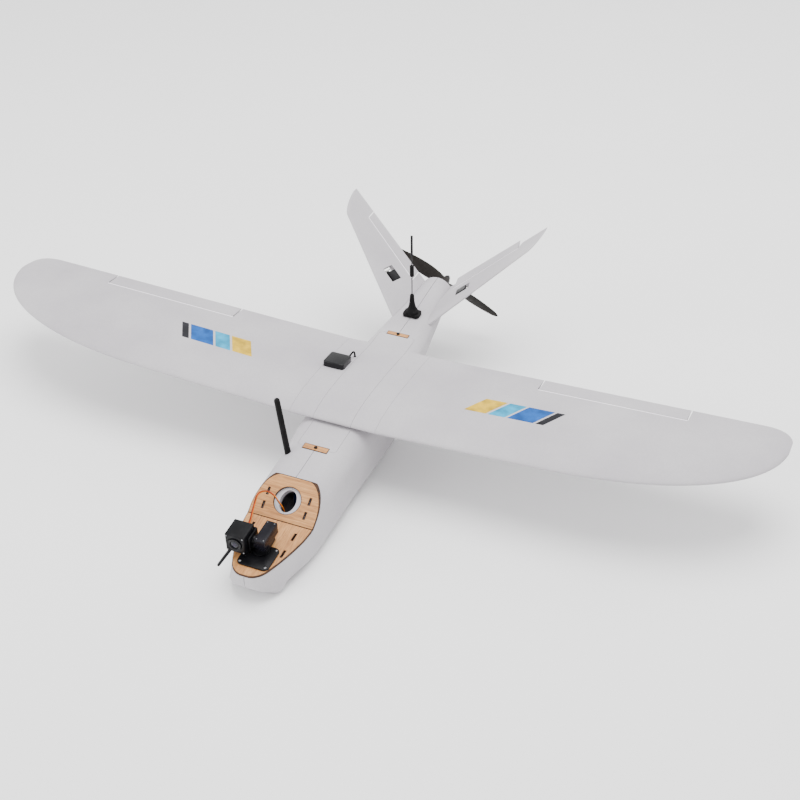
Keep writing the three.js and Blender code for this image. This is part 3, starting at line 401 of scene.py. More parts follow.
def burnt_paint():
    """The laser-charred edge of plywood, with its plies showing faintly."""
    paint = Paint("burnt_edge", 0.7, specular=0.3)
    plies = paint.noise(1, 2, paint.stretch(paint.place, (60, 60, 1400)))
    paint.colour(paint.ramp(plies, (0.35, (0.018, 0.008, 0.004)), (0.7, (0.085, 0.034, 0.013))))
    paint.bump(paint.noise(700, 3), 0.00008, 0.5)
    return paint.material


def plastic_paint(name, colour, roughness=0.42, grain=0.00003, coat=0.0, wear=0.35):
    """Moulded plastic: a fine texture, a slight change of shade and paler rubbed spots."""
    paint = Paint(name, roughness, coat=coat, specular=0.13)
    deep = tuple(v * (1 - wear) for v in colour)
    pale = tuple(min(v * (1 + wear) + 0.004, 1) for v in colour)
    paint.colour(paint.ramp(paint.noise(55, 5), (0.35, deep), (0.55, colour), (0.78, pale)))
    paint.roughness(paint.noise(160, 4), roughness * 0.8, min(roughness * 1.25, 1))
    paint.bump(paint.noise(2600, 2), grain, 0.6)
    return paint.material


def metal_paint(name, colour, roughness=0.3):
    """Turned metal with fine circular tool marks."""
    paint = Paint(name, roughness, metallic=1.0)
    marks = paint.noise(1, 4, paint.stretch(paint.place, (60, 2400, 60)))
    dark = tuple(v * 0.82 for v in colour)
    paint.colour(paint.ramp(marks, (0.3, dark), (0.7, colour)))
    paint.roughness(marks, roughness * 0.8, roughness * 1.3)
    paint.bump(marks, 0.00002, 0.4)
    return paint.material


def carbon_paint(name, colour):
    """Fibre-filled nylon: short pale fibres in a dark matrix."""
    paint = Paint(name, 0.36, specular=0.22)
    fibres = paint.noise(1, 5, paint.stretch(paint.place, (900, 200, 900), (0.4, 0.3, 0.5)), 1.2)
    deep = tuple(v * 0.6 for v in colour)
    pale = tuple(v * 1.7 for v in colour)
    paint.colour(paint.ramp(fibres, (0.4, deep), (0.6, colour), (0.78, pale)))
    paint.roughness(fibres, 0.28, 0.48)
    paint.bump(fibres, 0.00004, 0.4)
    return paint.material


def board_paint():
    """A circuit board with copper tracks."""
    paint = Paint("circuit_board", 0.35)
    tracks = paint.node("TexBrick", {"Vector": paint.place, "Scale": 160.0}).outputs["Fac"]
    paint.colour(paint.ramp(tracks, (0.2, (0.012, 0.10, 0.045)), (0.8, (0.30, 0.22, 0.06))))
    paint.bump(tracks, 0.0001, 0.5)
    return paint.material


FOAM = foam_paint()
# Near-white foam colour for the strips along the hinges: a painted highlight of the hinge gaps.
HINGE_HIGHLIGHT = foam_paint("painted_hinge_highlight", 0.94, 0.90)
PLYWOOD = wood_paint("plywood")
PLYWOOD_ACROSS = wood_paint("plywood_across", True)
BURNT = burnt_paint()
BLACK = plastic_paint("black_plastic", (0.0035, 0.0035, 0.0045), 0.34)
BLACK_GLOSS = plastic_paint("black_gloss", (0.003, 0.003, 0.004), 0.22, 0.00001, 0.3)
RUBBER = plastic_paint("black_rubber", (0.004, 0.0036, 0.004), 0.6, 0.00005)
GREY = plastic_paint("servo_grey", (0.006, 0.0055, 0.009), 0.24)
NYLON = plastic_paint("white_nylon", (0.72, 0.70, 0.66), 0.45, 0.00002, 0, 0.05)
PROP = carbon_paint("propeller_plastic", (0.016, 0.013, 0.011))
CARBON = carbon_paint("carbon_rod", (0.014, 0.014, 0.016))
STEEL = metal_paint("steel", (0.56, 0.56, 0.58))
DARK_STEEL = metal_paint("black_steel", (0.05, 0.05, 0.055), 0.35)
GLASS = plastic_paint("lens_glass", (0.004, 0.005, 0.012), 0.05, 0.0, 0.35)
COATING = plastic_paint("lens_coating", (0.010, 0.004, 0.024), 0.08, 0.0, 0.35)
BATTERY = plastic_paint("battery_wrap", (0.03, 0.09, 0.30), 0.35)
BOARD = board_paint()
WIRES = {
    "brown": plastic_paint("wire_brown", (0.060, 0.020, 0.008), 0.45),
    "red": plastic_paint("wire_red", (0.36, 0.030, 0.012), 0.42),
    "orange": plastic_paint("wire_orange", (0.70, 0.20, 0.02), 0.42),
}
SCREWS = metal_paint("screw_steel", (0.30, 0.30, 0.31), 0.3)
FILMS = {
    "film_blue": plastic_paint("film_blue", (0.010, 0.090, 0.34), 0.3, 0.00001),
    "film_cyan": plastic_paint("film_cyan", (0.020, 0.30, 0.50), 0.3, 0.00001),
    "film_yellow": plastic_paint("film_yellow", (0.62, 0.40, 0.03), 0.3, 0.00001),
    "film_black": plastic_paint("film_black", (0.014, 0.014, 0.018), 0.3, 0.00001),
}


def dress(obj, *materials):
    obj.data.materials.clear()
    for material in materials:
        obj.data.materials.append(material)
    return obj


def place(obj, body, slot, *nodes):
    """Names where a finished piece rides and what it stands for. The slot argument is not used."""
    if nodes:
        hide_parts(*nodes)
    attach(obj, body)
    return obj


def refine(node, material, slot, width=0.4, segments=2):
    """A copy of a CAD node with rounded edges and a finish of its own."""
    obj = copied(frame["nodes"][node], node + "_piece")
    soften(obj, width, segments)
    dress(obj, material)
    return place(obj, BODY_OF[node], slot, node)


# ---------------------------------------------------------------- fuselage shape
def slopes(values, knots):
    """Slopes at the knots that never overshoot the values."""
    rates = [(b - a) / (q - p) for a, b, p, q in zip(values, values[1:], knots, knots[1:])]
    found = [rates[0]]
    for low, high in zip(rates, rates[1:]):
        found.append(0 if low * high <= 0 else 2 * low * high / (low + high))
    return found + [rates[-1]]


STATION_SLOPES = [slopes([s[k] for s in STATIONS], [s[0] for s in STATIONS]) for k in range(1, 7)]


def station_at(i, t):
    low, high = STATIONS[i], STATIONS[i + 1]
    span = high[0] - low[0]
    row = [low[0] + t * span]
    for k in range(1, 7):
        m = STATION_SLOPES[k - 1]
        a, b = low[k], high[k]
        row.append(
            a * (2 * t ** 3 - 3 * t ** 2 + 1) + b * (3 * t ** 2 - 2 * t ** 3)
            + span * (m[i] * (t ** 3 - 2 * t ** 2 + t) + m[i + 1] * (t ** 3 - t ** 2))
        )
    return row


def body_ring(station, inset, steps=12):
    y, half, top, bottom, upper, lower, flare = station
    half = max(half - inset, 1)
    foot = half + flare
    top -= inset
    bottom += inset
    limit = min(half, (top - bottom) / 2) - 0.05
    upper = min(max(upper - inset, 1.5), limit)
    lower = min(max(lower - inset, 1.5), limit)
    side = [Vector((0, y, top))]
    for i in range(steps + 1):
        a = math.pi / 2 * i / steps
        side.append(Vector((half - upper + upper * math.sin(a), y, top - upper + upper * math.cos(a))))
    for i in range(steps + 1):
        a = math.pi / 2 * i / steps
        side.append(Vector((foot - lower + lower * math.cos(a), y, bottom + lower - lower * math.sin(a))))
    side.append(Vector((0, y, bottom)))
    return side + [Vector((-p.x, p.y, p.z)) for p in side[-2:0:-1]]


def body(inset):
    rows = [station_at(i, k / 5) for i in range(len(STATIONS) - 1) for k in range(5)]
    rows.append(STATIONS[-1])
    return loft("body", [body_ring(row, inset) for row in rows])


# ---------------------------------------------------------------- wing shape
def section_half(u, thickness):
    curve = 0.2969 * math.sqrt(u) - 0.126 * u - 0.3516 * u ** 2 + 0.2843 * u ** 3
    return 5 * thickness * (curve - 0.0985 * u ** 4)


def camber(u, peak=0.3):
    if u < peak:
        return CAMBER / peak ** 2 * (2 * peak * u - u ** 2)
    return CAMBER / (1 - peak) ** 2 * (1 - 2 * peak + 2 * peak * u - u ** 2)


def leading(x):
    if x <= LE_STRAIGHT_END:
        return LE_Y
    s = (x - LE_STRAIGHT_END) / (HALF_SPAN - LE_STRAIGHT_END)
    return LE_Y + (TIP_Y - LE_Y) * (1 - (1 - s ** 2.2) ** (1 / 2.2))


def trailing(x):
    straight = TE_Y + TE_SWEEP * (x - ROOT_X)
    if x <= TE_STRAIGHT_END:
        return straight
    s = (x - TE_STRAIGHT_END) / (HALF_SPAN - TE_STRAIGHT_END)
    return TIP_Y + (straight - TIP_Y) * (1 - s ** 2.6) ** (1 / 2.6)


def wing_point(x, u, sign):
    nose = leading(abs(x))
    chord = trailing(abs(x)) - nose
    lift = WING_Z + DIHEDRAL * max(abs(x) - ROOT_X, 0) + RISE * (1 - u)
    return Vector((x, nose + u * chord, lift + (camber(u) + sign * section_half(u, WING_THICKNESS)) * chord))


def wing_top(x, y):
    nose = leading(x)
    return wing_point(x, (y - nose) / (trailing(x) - nose), 1).z


def section_ring(point, steps=34):
    over = [1 - math.cos(math.pi / 2 * i / steps) for i in range(steps + 1)]
    return [point(u, 1) for u in over] + [point(u, -1) for u in over[:0:-1]]


def wing_ring(x):
    return section_ring(lambda u, sign: wing_point(x, u, sign))


def wing_solid():
    straight = [ROOT_X + GAP + i * (TIP_START - ROOT_X) / 30 for i in range(31)]
    tip = [TIP_START + TIP_REACH * math.sin(math.pi / 2 * i / 22) for i in range(1, 23)]
    return loft("wing", [wing_ring(x) for x in straight + tip])


def centre_section():
    return loft("centre", [wing_ring(x) for x in (-ROOT_X, -35, 0, 35, ROOT_X)])


# ---------------------------------------------------------------- fin shape
fin_along = Vector((math.cos(FIN_ANGLE), 0, math.sin(FIN_ANGLE)))
fin_aft = Matrix.Rotation(FIN_PITCH, 3, fin_along) @ Vector((0, 1, 0))
fin_up = fin_along.cross(fin_aft)


def basis(x, y, z, origin):
    return shift(*origin) @ Matrix((x, y, z)).transposed().to_4x4()


fin_frame = basis(fin_along, fin_aft, fin_up, FIN_ROOT)


def fin_trailing(s):
    return FIN_TE_C + FIN_TE_SLOPE * s


def fin_leading(s):
    straight = FIN_LE_C + FIN_LE_SLOPE * min(s, FIN_CORNER)
    if s <= FIN_CORNER:
        return straight
    share = (s - FIN_CORNER) / (FIN_SPAN - FIN_CORNER)
    return straight + (fin_trailing(FIN_SPAN) - 4 - straight) * (1 - (1 - share ** 1.5) ** (1 / 1.5))


def fin_hinge(s):
    return RUDDER_HINGE_C + RUDDER_HINGE_SLOPE * s


def fin_ring(s):
    nose = fin_leading(s)
    chord = fin_trailing(s) - nose

    def point(u, sign):
        return fin_frame @ Vector((s, nose + u * chord, sign * section_half(u, FIN_THICKNESS) * chord))

    return section_ring(point)


def fin_solid():
    straight = [FIN_FOOT + i * (FIN_CORNER - FIN_FOOT) / 16 for i in range(17)]
    tip = [FIN_CORNER + FIN_TIP_REACH * math.sin(math.pi / 2 * i / 14) for i in range(1, 15)]
    return loft("fin", [fin_ring(s) for s in straight + tip])


def fin_top(s, c):
    nose = fin_leading(s)
    chord = fin_trailing(s) - nose
    return section_half((c - nose) / chord, FIN_THICKNESS) * chord


# ---------------------------------------------------------------- cutting frames
rear_slope = math.degrees(math.atan2(DECK_TOP_Z - DECK_BREAK.z, DECK_TOP_Y - DECK_BREAK.y))
front_slope = math.degrees(math.atan2(DECK_BREAK.z - NOSE_DECK_Z, DECK_BREAK.y - NOSE_Y))
rear_length = math.hypot(DECK_TOP_Z - DECK_BREAK.z, DECK_TOP_Y - DECK_BREAK.y)
front_length = math.hypot(DECK_BREAK.z - NOSE_DECK_Z, DECK_BREAK.y - NOSE_Y)
rear_deck = shift(*DECK_BREAK) @ turn(rear_slope, "X")
front_deck = shift(*DECK_BREAK) @ turn(front_slope, "X")
port_frame = rear_deck @ shift(0, rear_length - PORT_INSET, 0)


def hinge_frame(inner, outer, up):
    x = (outer - inner).normalized()
    y = up.cross(x).normalized()
    return basis(x, y, x.cross(y), inner)


def behind(hinge, bevelled):
    region = block(-20, 400, HINGE_GAP if bevelled else 0, 90, -60, 60, hinge)
    if bevelled:
        keep(region, block(-20, 400, 0, 120, -90, 90, hinge @ shift(0, HINGE_GAP, 0) @ turn(BEVEL, "X")))
    return region


def rounded_prism(x0, x1, y0, y1, z0, z1, radius, matrix=Matrix(), steps=8):
    ring = []
    corners = [(x1 - radius, y0 + radius, -90), (x1 - radius, y1 - radius, 0),
               (x0 + radius, y1 - radius, 90), (x0 + radius, y0 + radius, 180)]
    for cx, cy, start in corners:
        for i in range(steps + 1):
            a = math.radians(start + 90 * i / steps)
            ring.append((cx + radius * math.cos(a), cy + radius * math.sin(a)))
    return loft("prism", [[matrix @ Vector((x, y, z)) for x, y in ring] for z in (z0, z1)])


# ---------------------------------------------------------------- fuselage
# Latch tabs: middle in Y, top, half width, length.
LATCHES = ((-131, 101.9, 20, 12), (182, 111, 18.5, 9))


def over_decks(depth):
    over = block(-90, 90, -300, rear_length + GAP, -depth, 300, rear_deck)
    return keep(over, block(-90, 90, -300, 300, -depth, 300, front_deck))


def hollow(bay_only=False):
    """The space inside the foam, with or without the bulkhead under the rear plate."""
    inside = keep(body(SKIN), block(-90, 90, HOLLOW_FRONT, HOLLOW_REAR, -50, 300))
    if bay_only:
        return inside
    oval = turned([(1, -40), (1, 40)], port_frame @ Matrix.Diagonal((OVAL_HALF_X, OVAL_HALF_Y, 1, 1)))
    bulkhead = block(-90, 90, 2, rear_length + 40, -PLY - GAP - BULKHEAD_THICKNESS, 60, rear_deck)
    return cut(inside, cut(bulkhead, oval))


def latch_tools(spare):
    tools = []
    for y, top, half, length in LATCHES:
        low = top - PLY - spare
        tools.append(block(
            -half - spare, half + spare, y - length / 2 - spare, y + length / 2 + spare, low, top + 30,
        ))
        tools.append(rod((0, y, 80), (0, y, 140), 1.6))
    return tools


gps_rise = wing_top(0, 76) - wing_top(0, 42)
gps_frame = shift(-52, 59, wing_top(0, 59) - 3) @ turn(math.degrees(math.atan2(gps_rise, 34)), "X")
STUB_BASE, STUB_TIP = Vector((-36.7, -149.9, 96)), Vector((-50.4, -149.9, 189.6))
stub_aim = (STUB_TIP - STUB_BASE).normalized()


def slots(starts, length, deck):
    """Tools for tie slots on both sides of a deck."""
    tools = []
    for side in (-1, 1):
        for start in starts:
            inner, outer = side * SLOT_X - SLOT_HALF_WIDTH, side * SLOT_X + SLOT_HALF_WIDTH
            tools.append(block(inner, outer, start, start + length, -30, 30, deck))
    return tools


REAR_SLOTS = slots((11.5, 33), 10.5, rear_deck)
FRONT_SLOTS = slots((-29, -64), 13.5, front_deck)


def seam_block(y0, y1, z1):
    return block(-SEAM_HALF_WIDTH, SEAM_HALF_WIDTH, y0, y1, -50, z1)


seam = join(seam_block(-500, -138, 300), seam_block(188, 500, 300), seam_block(-138.5, 188.5, 40))
cut(seam, body(SEAM_DEPTH))
join(seam, seam_block(-368, -365.3, 300))
motor_well = rod((0, POD_Y - 22, POD_Z), (0, POD_Y + 6, POD_Z), 22, 64)
joiner_slot = block(-44.3, 44.3, -20.3, -3.7, 98.7, 113.3)
cable_bore = rod((GPS_CABLE_X, GPS_CABLE_Y, 80), (GPS_CABLE_X, GPS_CABLE_Y, 140), 2.4)
gps_pocket = rounded_prism(-17.8, 17.8, -17.3, 17.3, -0.3, 40, 4.3, gps_frame)
probe_bore = rod((PROBE_X, -281.7, PROBE_Z), (PROBE_X, -400, PROBE_Z), 2.7)
stub_bore = rod(STUB_BASE - stub_aim * 16, STUB_BASE + stub_aim * 4, 5)
hull = join(body(0), centre_section())
cut(
    hull, hollow(), motor_well, over_decks(PLY + GAP), rounded_prism(*HATCH_OPENING), joiner_slot, cable_bore,
    gps_pocket, probe_bore, stub_bore, seam, *latch_tools(GAP),
    *(copied(slot, "recess") for slot in REAR_SLOTS + FRONT_SLOTS),
)
port_half = keep(copied(hull, "fuselage_port"), block(GAP / 2, 200, -500, 500, -50, 300))
starboard_half = keep(hull, block(-200, -GAP / 2, -500, 500, -50, 300))
for half, side in ((port_half, "left"), (starboard_half, "right")):
    smooth(half)
    half.name = "fuselage_shell_" + side
    place(dress(half, FOAM), "airframe", "foam", "fuselage_" + side)

lid = keep(join(body(0), centre_section()), rounded_prism(*HATCH_LID))
cut(lid, hollow(True), block(-40, 40, -21, -3, 0, 114), *latch_tools(GAP))
lid.name = "hatch_lid"
smooth(lid)
place(dress(lid, FOAM), "hatch", "foam", "hatch")


# ---------------------------------------------------------------- plywood
def char(obj, up, width=0.8):
    """Burnt edges: the cut faces and a thin border of the broad faces take the second material."""
    edit = bmesh.new()
    edit.from_mesh(obj.data)
    bmesh.ops.remove_doubles(edit, verts=edit.verts, dist=2e-6)
    edit.normal_update()
    broad = [f for f in edit.faces if abs(f.normal.dot(up)) > 0.98]
    for f in edit.faces:
        f.material_index = 1
    for f in broad:
        f.material_index = 0
    rim = bmesh.ops.inset_region(edit, faces=broad, thickness=width * MM, use_even_offset=True)
    for f in rim["faces"]:
        f.material_index = 1
    edit.to_mesh(obj.data)
    edit.free()


def ply_piece(obj, name, up, body_name, wood, *nodes):
    obj.name = name
    obj.data.materials.clear()
    char(obj, up)
    for material in (wood, BURNT):
        obj.data.materials.append(material)
    place(obj, body_name, "plywood", *nodes)


rear_up = rear_deck.to_3x3() @ Vector((0, 0, 1))
front_up = front_deck.to_3x3() @ Vector((0, 0, 1))
rear_slab = cut(
    block(-90, 90, GAP / 2, rear_length, -PLY, 0, rear_deck),
    block(-90, 90, -200, 0, -90, 90, front_deck),
)
front_slab = cut(
    block(-90, 90, -front_length - 9, -GAP / 2, -PLY, 0, front_deck),
    block(-90, 90, -5, 90, -90, 0.01, rear_deck),
)
rear_plate = keep(body(0.1), rear_slab)
cut(rear_plate, turned([(PORT_RADIUS, -20), (PORT_RADIUS, 20)], port_frame, 96), *REAR_SLOTS)
ply_piece(rear_plate, "rear_plate", rear_up, "airframe", PLYWOOD_ACROSS, "nose_plate_rear")
PAN_SHIFT = (-318 - DECK_BREAK.y) / math.cos(math.radians(front_slope))
gimbal = front_deck @ shift(2, PAN_SHIFT, 0)
front_plate = keep(body(0.1), front_slab)
cut(front_plate, turned([(6, -20), (6, 20)], gimbal), *FRONT_SLOTS)
ply_piece(front_plate, "front_plate", front_up, "airframe", PLYWOOD, "nose_plate_front")
for (y, top, half, length), name in zip(LATCHES, ("front", "rear")):
    tab = block(-half, half, y - length / 2, y + length / 2, top - PLY, top)
    cut(tab, rod((0, y, 80), (0, y, 140), 1.6))
    ply_piece(tab, f"{name}_latch_tab", Vector((0, 0, 1)), "hatch", PLYWOOD_ACROSS, f"hatch_{name}_latch")


def screw_head(name, matrix, radius, body_name):
    """A cross-head screw, its head standing out along the matrix's Z."""
    profile = [(radius, 0), (radius, 0.5), (radius * 0.85, 0.95), (radius * 0.5, 1.3), (radius * 0.15, 1.4)]
    head = turned(profile, matrix, 32)
    arm = radius * 0.55
    cut(head, block(-arm, arm, -0.35, 0.35, 0.7, 3, matrix), block(-0.35, 0.35, -arm, arm, 0.7, 3, matrix))
    head.name = name
    smooth(head)
    return place(dress(head, SCREWS), body_name, "steel")


for name in ("front", "rear"):
    refine(f"hatch_{name}_screw", BLACK, "black_plastic", 0.3)

# ---------------------------------------------------------------- wings and ailerons
def aileron_line(x, aft=0.0, up=0.0):
    """A point of the wing's upper face on the hinge line, or aft of it and above it."""
    y = trailing(x) - AILERON_CHORD + aft
    return Vector((x, y, wing_top(x, y) + up))


wing_hinge = hinge_frame(aileron_line(AILERON_INNER), aileron_line(AILERON_OUTER), Vector((0, 0, 1)))
WING_LINK = {"x": 96, "reach": 72, "drop": 7, "long": 23, "deep": 22, "thick": 12, "skin": 6.6}
FIN_LINK = {"x": 32, "reach": 40.5, "drop": 2.2, "long": 20, "deep": 18, "thick": 8.6, "skin": 4.6}


def servo_frame(hinge, link):
    return hinge @ shift(link["x"], -link["reach"], -link["drop"])


def servo_pocket(hinge, link):
    half = link["thick"] / 2 + 0.5
    return block(-link["deep"] - 3.1, 6.3, -9.5, link["long"] - 5, -60, half, servo_frame(hinge, link))


def horn_slot(hinge, link, trim):
    frame_of_horn = hinge @ shift(link["x"], 0, 0) @ turn(trim, "X")
    return block(-GAP, 1.8 + GAP, -1, 16, -60, -link["skin"] + GAP, frame_of_horn)


def highlight_strip(name, point_at, start, end):
    """A strip of near-white foam colour along a moulded hinge, on both sides of the airplane: a painted
    highlight of the hinge gap.
    """
    section = ((-2.3, -0.3), (-0.2, -0.3), (-0.2, 0.1), (-2.3, 0.1))
    rings = [[point_at(start + (end - start) * i / 24, *corner) for corner in section] for i in range(25)]
    strip = loft(name + "_left", rings)
    smooth(strip)
    dress(strip, HINGE_HIGHLIGHT)
    for piece in (strip, mirrored(strip, name + "_right")):
        place(piece, "airframe", "foam")


def aileron_bay(spare):
    return block(AILERON_INNER - spare, AILERON_OUTER + spare, 0, 300, 0, 300)


wing = wing_solid()
aileron = keep(copied(wing, "aileron_panel"), keep(behind(wing_hinge, True), aileron_bay(-HINGE_GAP * 2)))
cut(aileron, horn_slot(wing_hinge, WING_LINK, 0))
cut(wing, keep(behind(wing_hinge, False), aileron_bay(HINGE_GAP * 2)), servo_pocket(wing_hinge, WING_LINK))
for piece, node, name in ((wing, "wing", "wing_panel"), (aileron, "aileron", "aileron_panel")):
    smooth(piece)
    dress(piece, FOAM)
    piece.name = name + "_left"
    twin = mirrored(piece, name + "_right")
    for obj, side in ((piece, "left"), (twin, "right")):
        where = "airframe" if node == "wing" else f"aileron_{side}"
        place(obj, where, "foam", f"{node}_{side}")

# Near-white strips along the aileron hinges: painted highlights of the hinge gaps.
highlight_strip("aileron_highlight_strip", aileron_line, AILERON_INNER, AILERON_OUTER)


# ---------------------------------------------------------------- V tail
def ruddervator_line(s, aft=0.0, up=0.0):
    """A point of the fin's upper face on the hinge line, or aft of it and above it."""
    c = fin_hinge(s) + aft
    return fin_frame @ Vector((s, c, fin_top(s, c) + up))


rudder_hinge = hinge_frame(ruddervator_line(RUDDER_INNER), ruddervator_line(RUDDER_OUTER), fin_up)
# Near-white strips along the ruddervator hinges: painted highlights of the hinge gaps.
highlight_strip("ruddervator_highlight_strip", ruddervator_line, RUDDER_INNER, RUDDER_OUTER)


def rudder_bay(spare):
    return block(RUDDER_INNER - spare, RUDDER_OUTER + spare, 0, 300, -90, 90, fin_frame)


def largest_part(obj):
    """Drops all but the biggest loose part."""
    edit = bmesh.new()
    edit.from_mesh(obj.data)
    left = set(edit.verts)
    parts = []
    while left:
        stack = [left.pop()]
        part = set(stack)
        while stack:
            for edge in stack.pop().link_edges:
                for vert in edge.verts:
                    if vert not in part:
                        part.add(vert)
                        stack.append(vert)
        left -= part
        parts.append(part)
    parts.sort(key=len)
    bmesh.ops.delete(edit, geom=[v for part in parts[:-1] for v in part], context="VERTS")
    edit.to_mesh(obj.data)
    edit.free()


fin = fin_solid()
rudder = keep(copied(fin, "rudder"), keep(behind(rudder_hinge, True), rudder_bay(-HINGE_GAP)))
cut(
    fin, body(-GAP), keep(behind(rudder_hinge, False), rudder_bay(HINGE_GAP + 0.4)),
    servo_pocket(rudder_hinge, FIN_LINK),
)
largest_part(fin)
smooth(fin)
dress(fin, FOAM)
fin.name = "fin_panel_left"
place(mirrored(fin, "fin_panel_right"), "airframe", "foam", "tail_fin_right")
place(fin, "airframe", "foam", "tail_fin_left")
for side in SIDES:
    trim = RUDDER_TRIM[side]
    piece = copied(rudder, f"ruddervator_panel_{side}")
    move = rudder_hinge @ turn(trim, "X") @ rudder_hinge.inverted()
    piece.data.transform(Matrix.Scale(MM, 4) @ move @ Matrix.Scale(1 / MM, 4))
    cut(piece, horn_slot(rudder_hinge, FIN_LINK, trim))
    if side == "right":
        whole = mirrored(piece, "mirror")
        bpy.data.objects.remove(piece)
        piece = whole
        piece.name = "ruddervator_panel_right"
    smooth(piece)
    place(dress(piece, FOAM), f"ruddervator_{side}", "foam", f"ruddervator_{side}")
bpy.data.objects.remove(rudder)

# ---------------------------------------------------------------- linkages and servos
for side in SIDES:
    for surface in ("aileron", "ruddervator"):
        refine(f"{surface}_horn_{side}", BLACK, "black_plastic", 0.25)
        refine(f"{surface}_arm_{side}", NYLON, "white_nylon", 0.25)
        refine(f"{surface}_pushrod_{side}", STEEL, "steel", 0.0)
        refine(f"{surface}_servo_{side}", BLACK, "black_plastic", 0.5)

# ---------------------------------------------------------------- motor and propeller
refine("motor_mount", BLACK, "black_plastic", 0.3)
refine("motor_bell", DARK_STEEL, "steel", 0.5)
refine("prop_shaft", STEEL, "steel", 0.3)
refine("spinner_nut", BLACK_GLOSS, "black_plastic", 0.3)
HUB_Y, HUB_END, PROP_RADIUS, PROP_ANGLE = POD_Y + 29, POD_Y + 40, 110, -25


def blade_ring(radius, sides=28):
    share = radius / PROP_RADIUS
    chord = 9 + 13 * math.sin(math.pi * min(share, 0.99) ** 0.8) + 2 * (1 - share)
    if share > 0.9:
        chord *= math.sqrt(max(1 - ((share - 0.9) / 0.1) ** 2, 0.004))
    pitch = math.atan2(22, radius + 12)
    depth = 3.4 - 2.4 * share
    ring = []
    for i in range(sides):
        a = 2 * math.pi * i / sides
        across, through = chord / 2 * math.cos(a), depth / 2 * math.sin(a)
        ring.append(Vector((
            radius, through * math.cos(pitch) - across * math.sin(pitch),
            through * math.sin(pitch) + across * math.cos(pitch),
        )))
    return ring


def blade(degrees):
    radii = [5 + i * 3.9 for i in range(25)]
    radii += [99 + 10.9 * math.sin(math.pi / 2 * i / 12) for i in range(1, 13)]
    move = shift(0, (HUB_Y + HUB_END) / 2, POD_Z) @ turn(degrees, "Y")
    return loft("blade", [[move @ p for p in blade_ring(r)] for r in radii])


hub_line = along((0, HUB_Y, POD_Z), (0, HUB_END, POD_Z))
prop = turned([(6.9, 0), (7.5, 0.6), (7.5, 10.4), (6.9, 11)], hub_line, 48)
join(prop, blade(-PROP_ANGLE), blade(180 - PROP_ANGLE))
cut(prop, rod((0, 300, POD_Z), (0, 420, POD_Z), 2.8))
prop.name = "propeller_blades"
smooth(prop)
place(dress(prop, PROP), "rotor", "propeller_plastic", "propeller")

# ---------------------------------------------------------------- camera gimbal
refine("pan_servo", BLACK, "black_plastic", 0.3)
refine("pan_base", BLACK, "black_plastic", 0.6, 3)
refine("pan_turret", BLACK, "black_plastic", 0.5, 3)
refine("tilt_servo", GREY, "grey_plastic", 0.6, 3)
refine("camera_cradle", BLACK, "black_plastic", 0.5, 3)
refine("camera_body", BLACK, "black_plastic", 0.9, 4)
CAMERA_BOX = Vector((-41.5, -22, 10))
lens_frame = gimbal @ shift(CAMERA_BOX.x + 15, CAMERA_BOX.y, CAMERA_BOX.z + 15.5) @ turn(90, "X")
barrel = turned(
    [(10, -6.6), (10, 1.2), (9.6, 2), (8.6, 2), (8.2, 1.2), (7.6, 1.2), (7.4, 1.9), (6.9, 1.9), (6.6, 0.6),
     (6.4, 0.4)],
    lens_frame, 72, "lens_barrel",
)
smooth(barrel, 25)
place(dress(barrel, BLACK_GLOSS), "camera", "lens_glass", "camera_lens")
front_glass = turned(
    [(6.3, 0.45), (6.3, 0.7), (5.6, 1.05), (4.4, 1.35), (3.0, 1.6), (1.4, 1.72), (0.3, 1.76)],
    lens_frame, 64, "lens_front",
)
smooth(front_glass, 60)
place(dress(front_glass, GLASS), "camera", "lens_glass")
iris = turned([(2.6, 1.66), (2.6, 1.74), (1.2, 1.80), (0.2, 1.82)], lens_frame, 48, "lens_iris")
smooth(iris, 60)
place(dress(iris, COATING), "camera", "lens_glass")
for i, (x, z) in enumerate(((2.6, 2.6), (27.4, 2.6), (2.6, 28.4), (27.4, 28.4))):
    corner = gimbal @ shift(CAMERA_BOX.x + x, CAMERA_BOX.y + 0.15, CAMERA_BOX.z + z) @ turn(90, "X")
    screw_head(f"camera_screw_{i}", corner, 1.2, "camera")
for i, y in enumerate((-5.5, 29.5)):
    for k, x in enumerate((-1.2, 9.6)):
        screw_head(f"servo_screw_{i}{k}", gimbal @ shift(x, y, 29.85), 1.1, "pan_head")
for i, z in enumerate((15.6, 26.4)):
    line = rounded_prism(-4.15, 12.65, -9.15, 33.15, z, z + 0.5, 1.6, gimbal)
    line.name = f"servo_seam_{i}"
    smooth(line)
    place(dress(line, BLACK), "pan_head", "black_plastic")
for i, (x, y) in enumerate(((-18, -28), (21, -28), (-18, 7), (21, 7))):
    screw_head(f"base_screw_{i}", gimbal @ shift(x, y, 2.5), 1.9, "airframe")

# ---------------------------------------------------------------- leads
LEAD_ROUTE = [
    (-37, -281, 58.9), (-39, -269, 61), (-39.6, -255, 76), (-38.4, -243.5, 88), (-28.5, -237.5, 92),
    (-16.5, -237, 88), (-9.5, -235.5, 76), (-6, -232, 64), (-5, -229, 50), (-4, -226, 36), (-3, -223, 24),
]
for colour, offset in (
    ("brown", (-0.85, 0.0, -0.4)), ("red", (0.0, 0.0, 0.45)), ("orange", (0.85, 0.0, -0.4)),
):
    lane = [Vector(p) + Vector(offset) for p in LEAD_ROUTE]
    wire = tube(lane, 0.72, f"camera_wire_{colour}")
    smooth(wire, 60)
    place(dress(wire, WIRES[colour]), "airframe", "lead_insulation", "camera_lead")
cable_start = gps_frame @ Vector((12.5, 17.9, 8))
cable_route = [
    cable_start, cable_start + Vector((0, 5, 1)), (GPS_CABLE_X, 86, 127), (GPS_CABLE_X, GPS_CABLE_Y, 118),
    (GPS_CABLE_X, GPS_CABLE_Y, 96), (-30, 86, 60), (-22, 78, 40),
]
cable = tube(cable_route, 1.45, "gps_lead")
smooth(cable, 60)
place(dress(cable, RUBBER), "airframe", "black_plastic", "gps_cable")

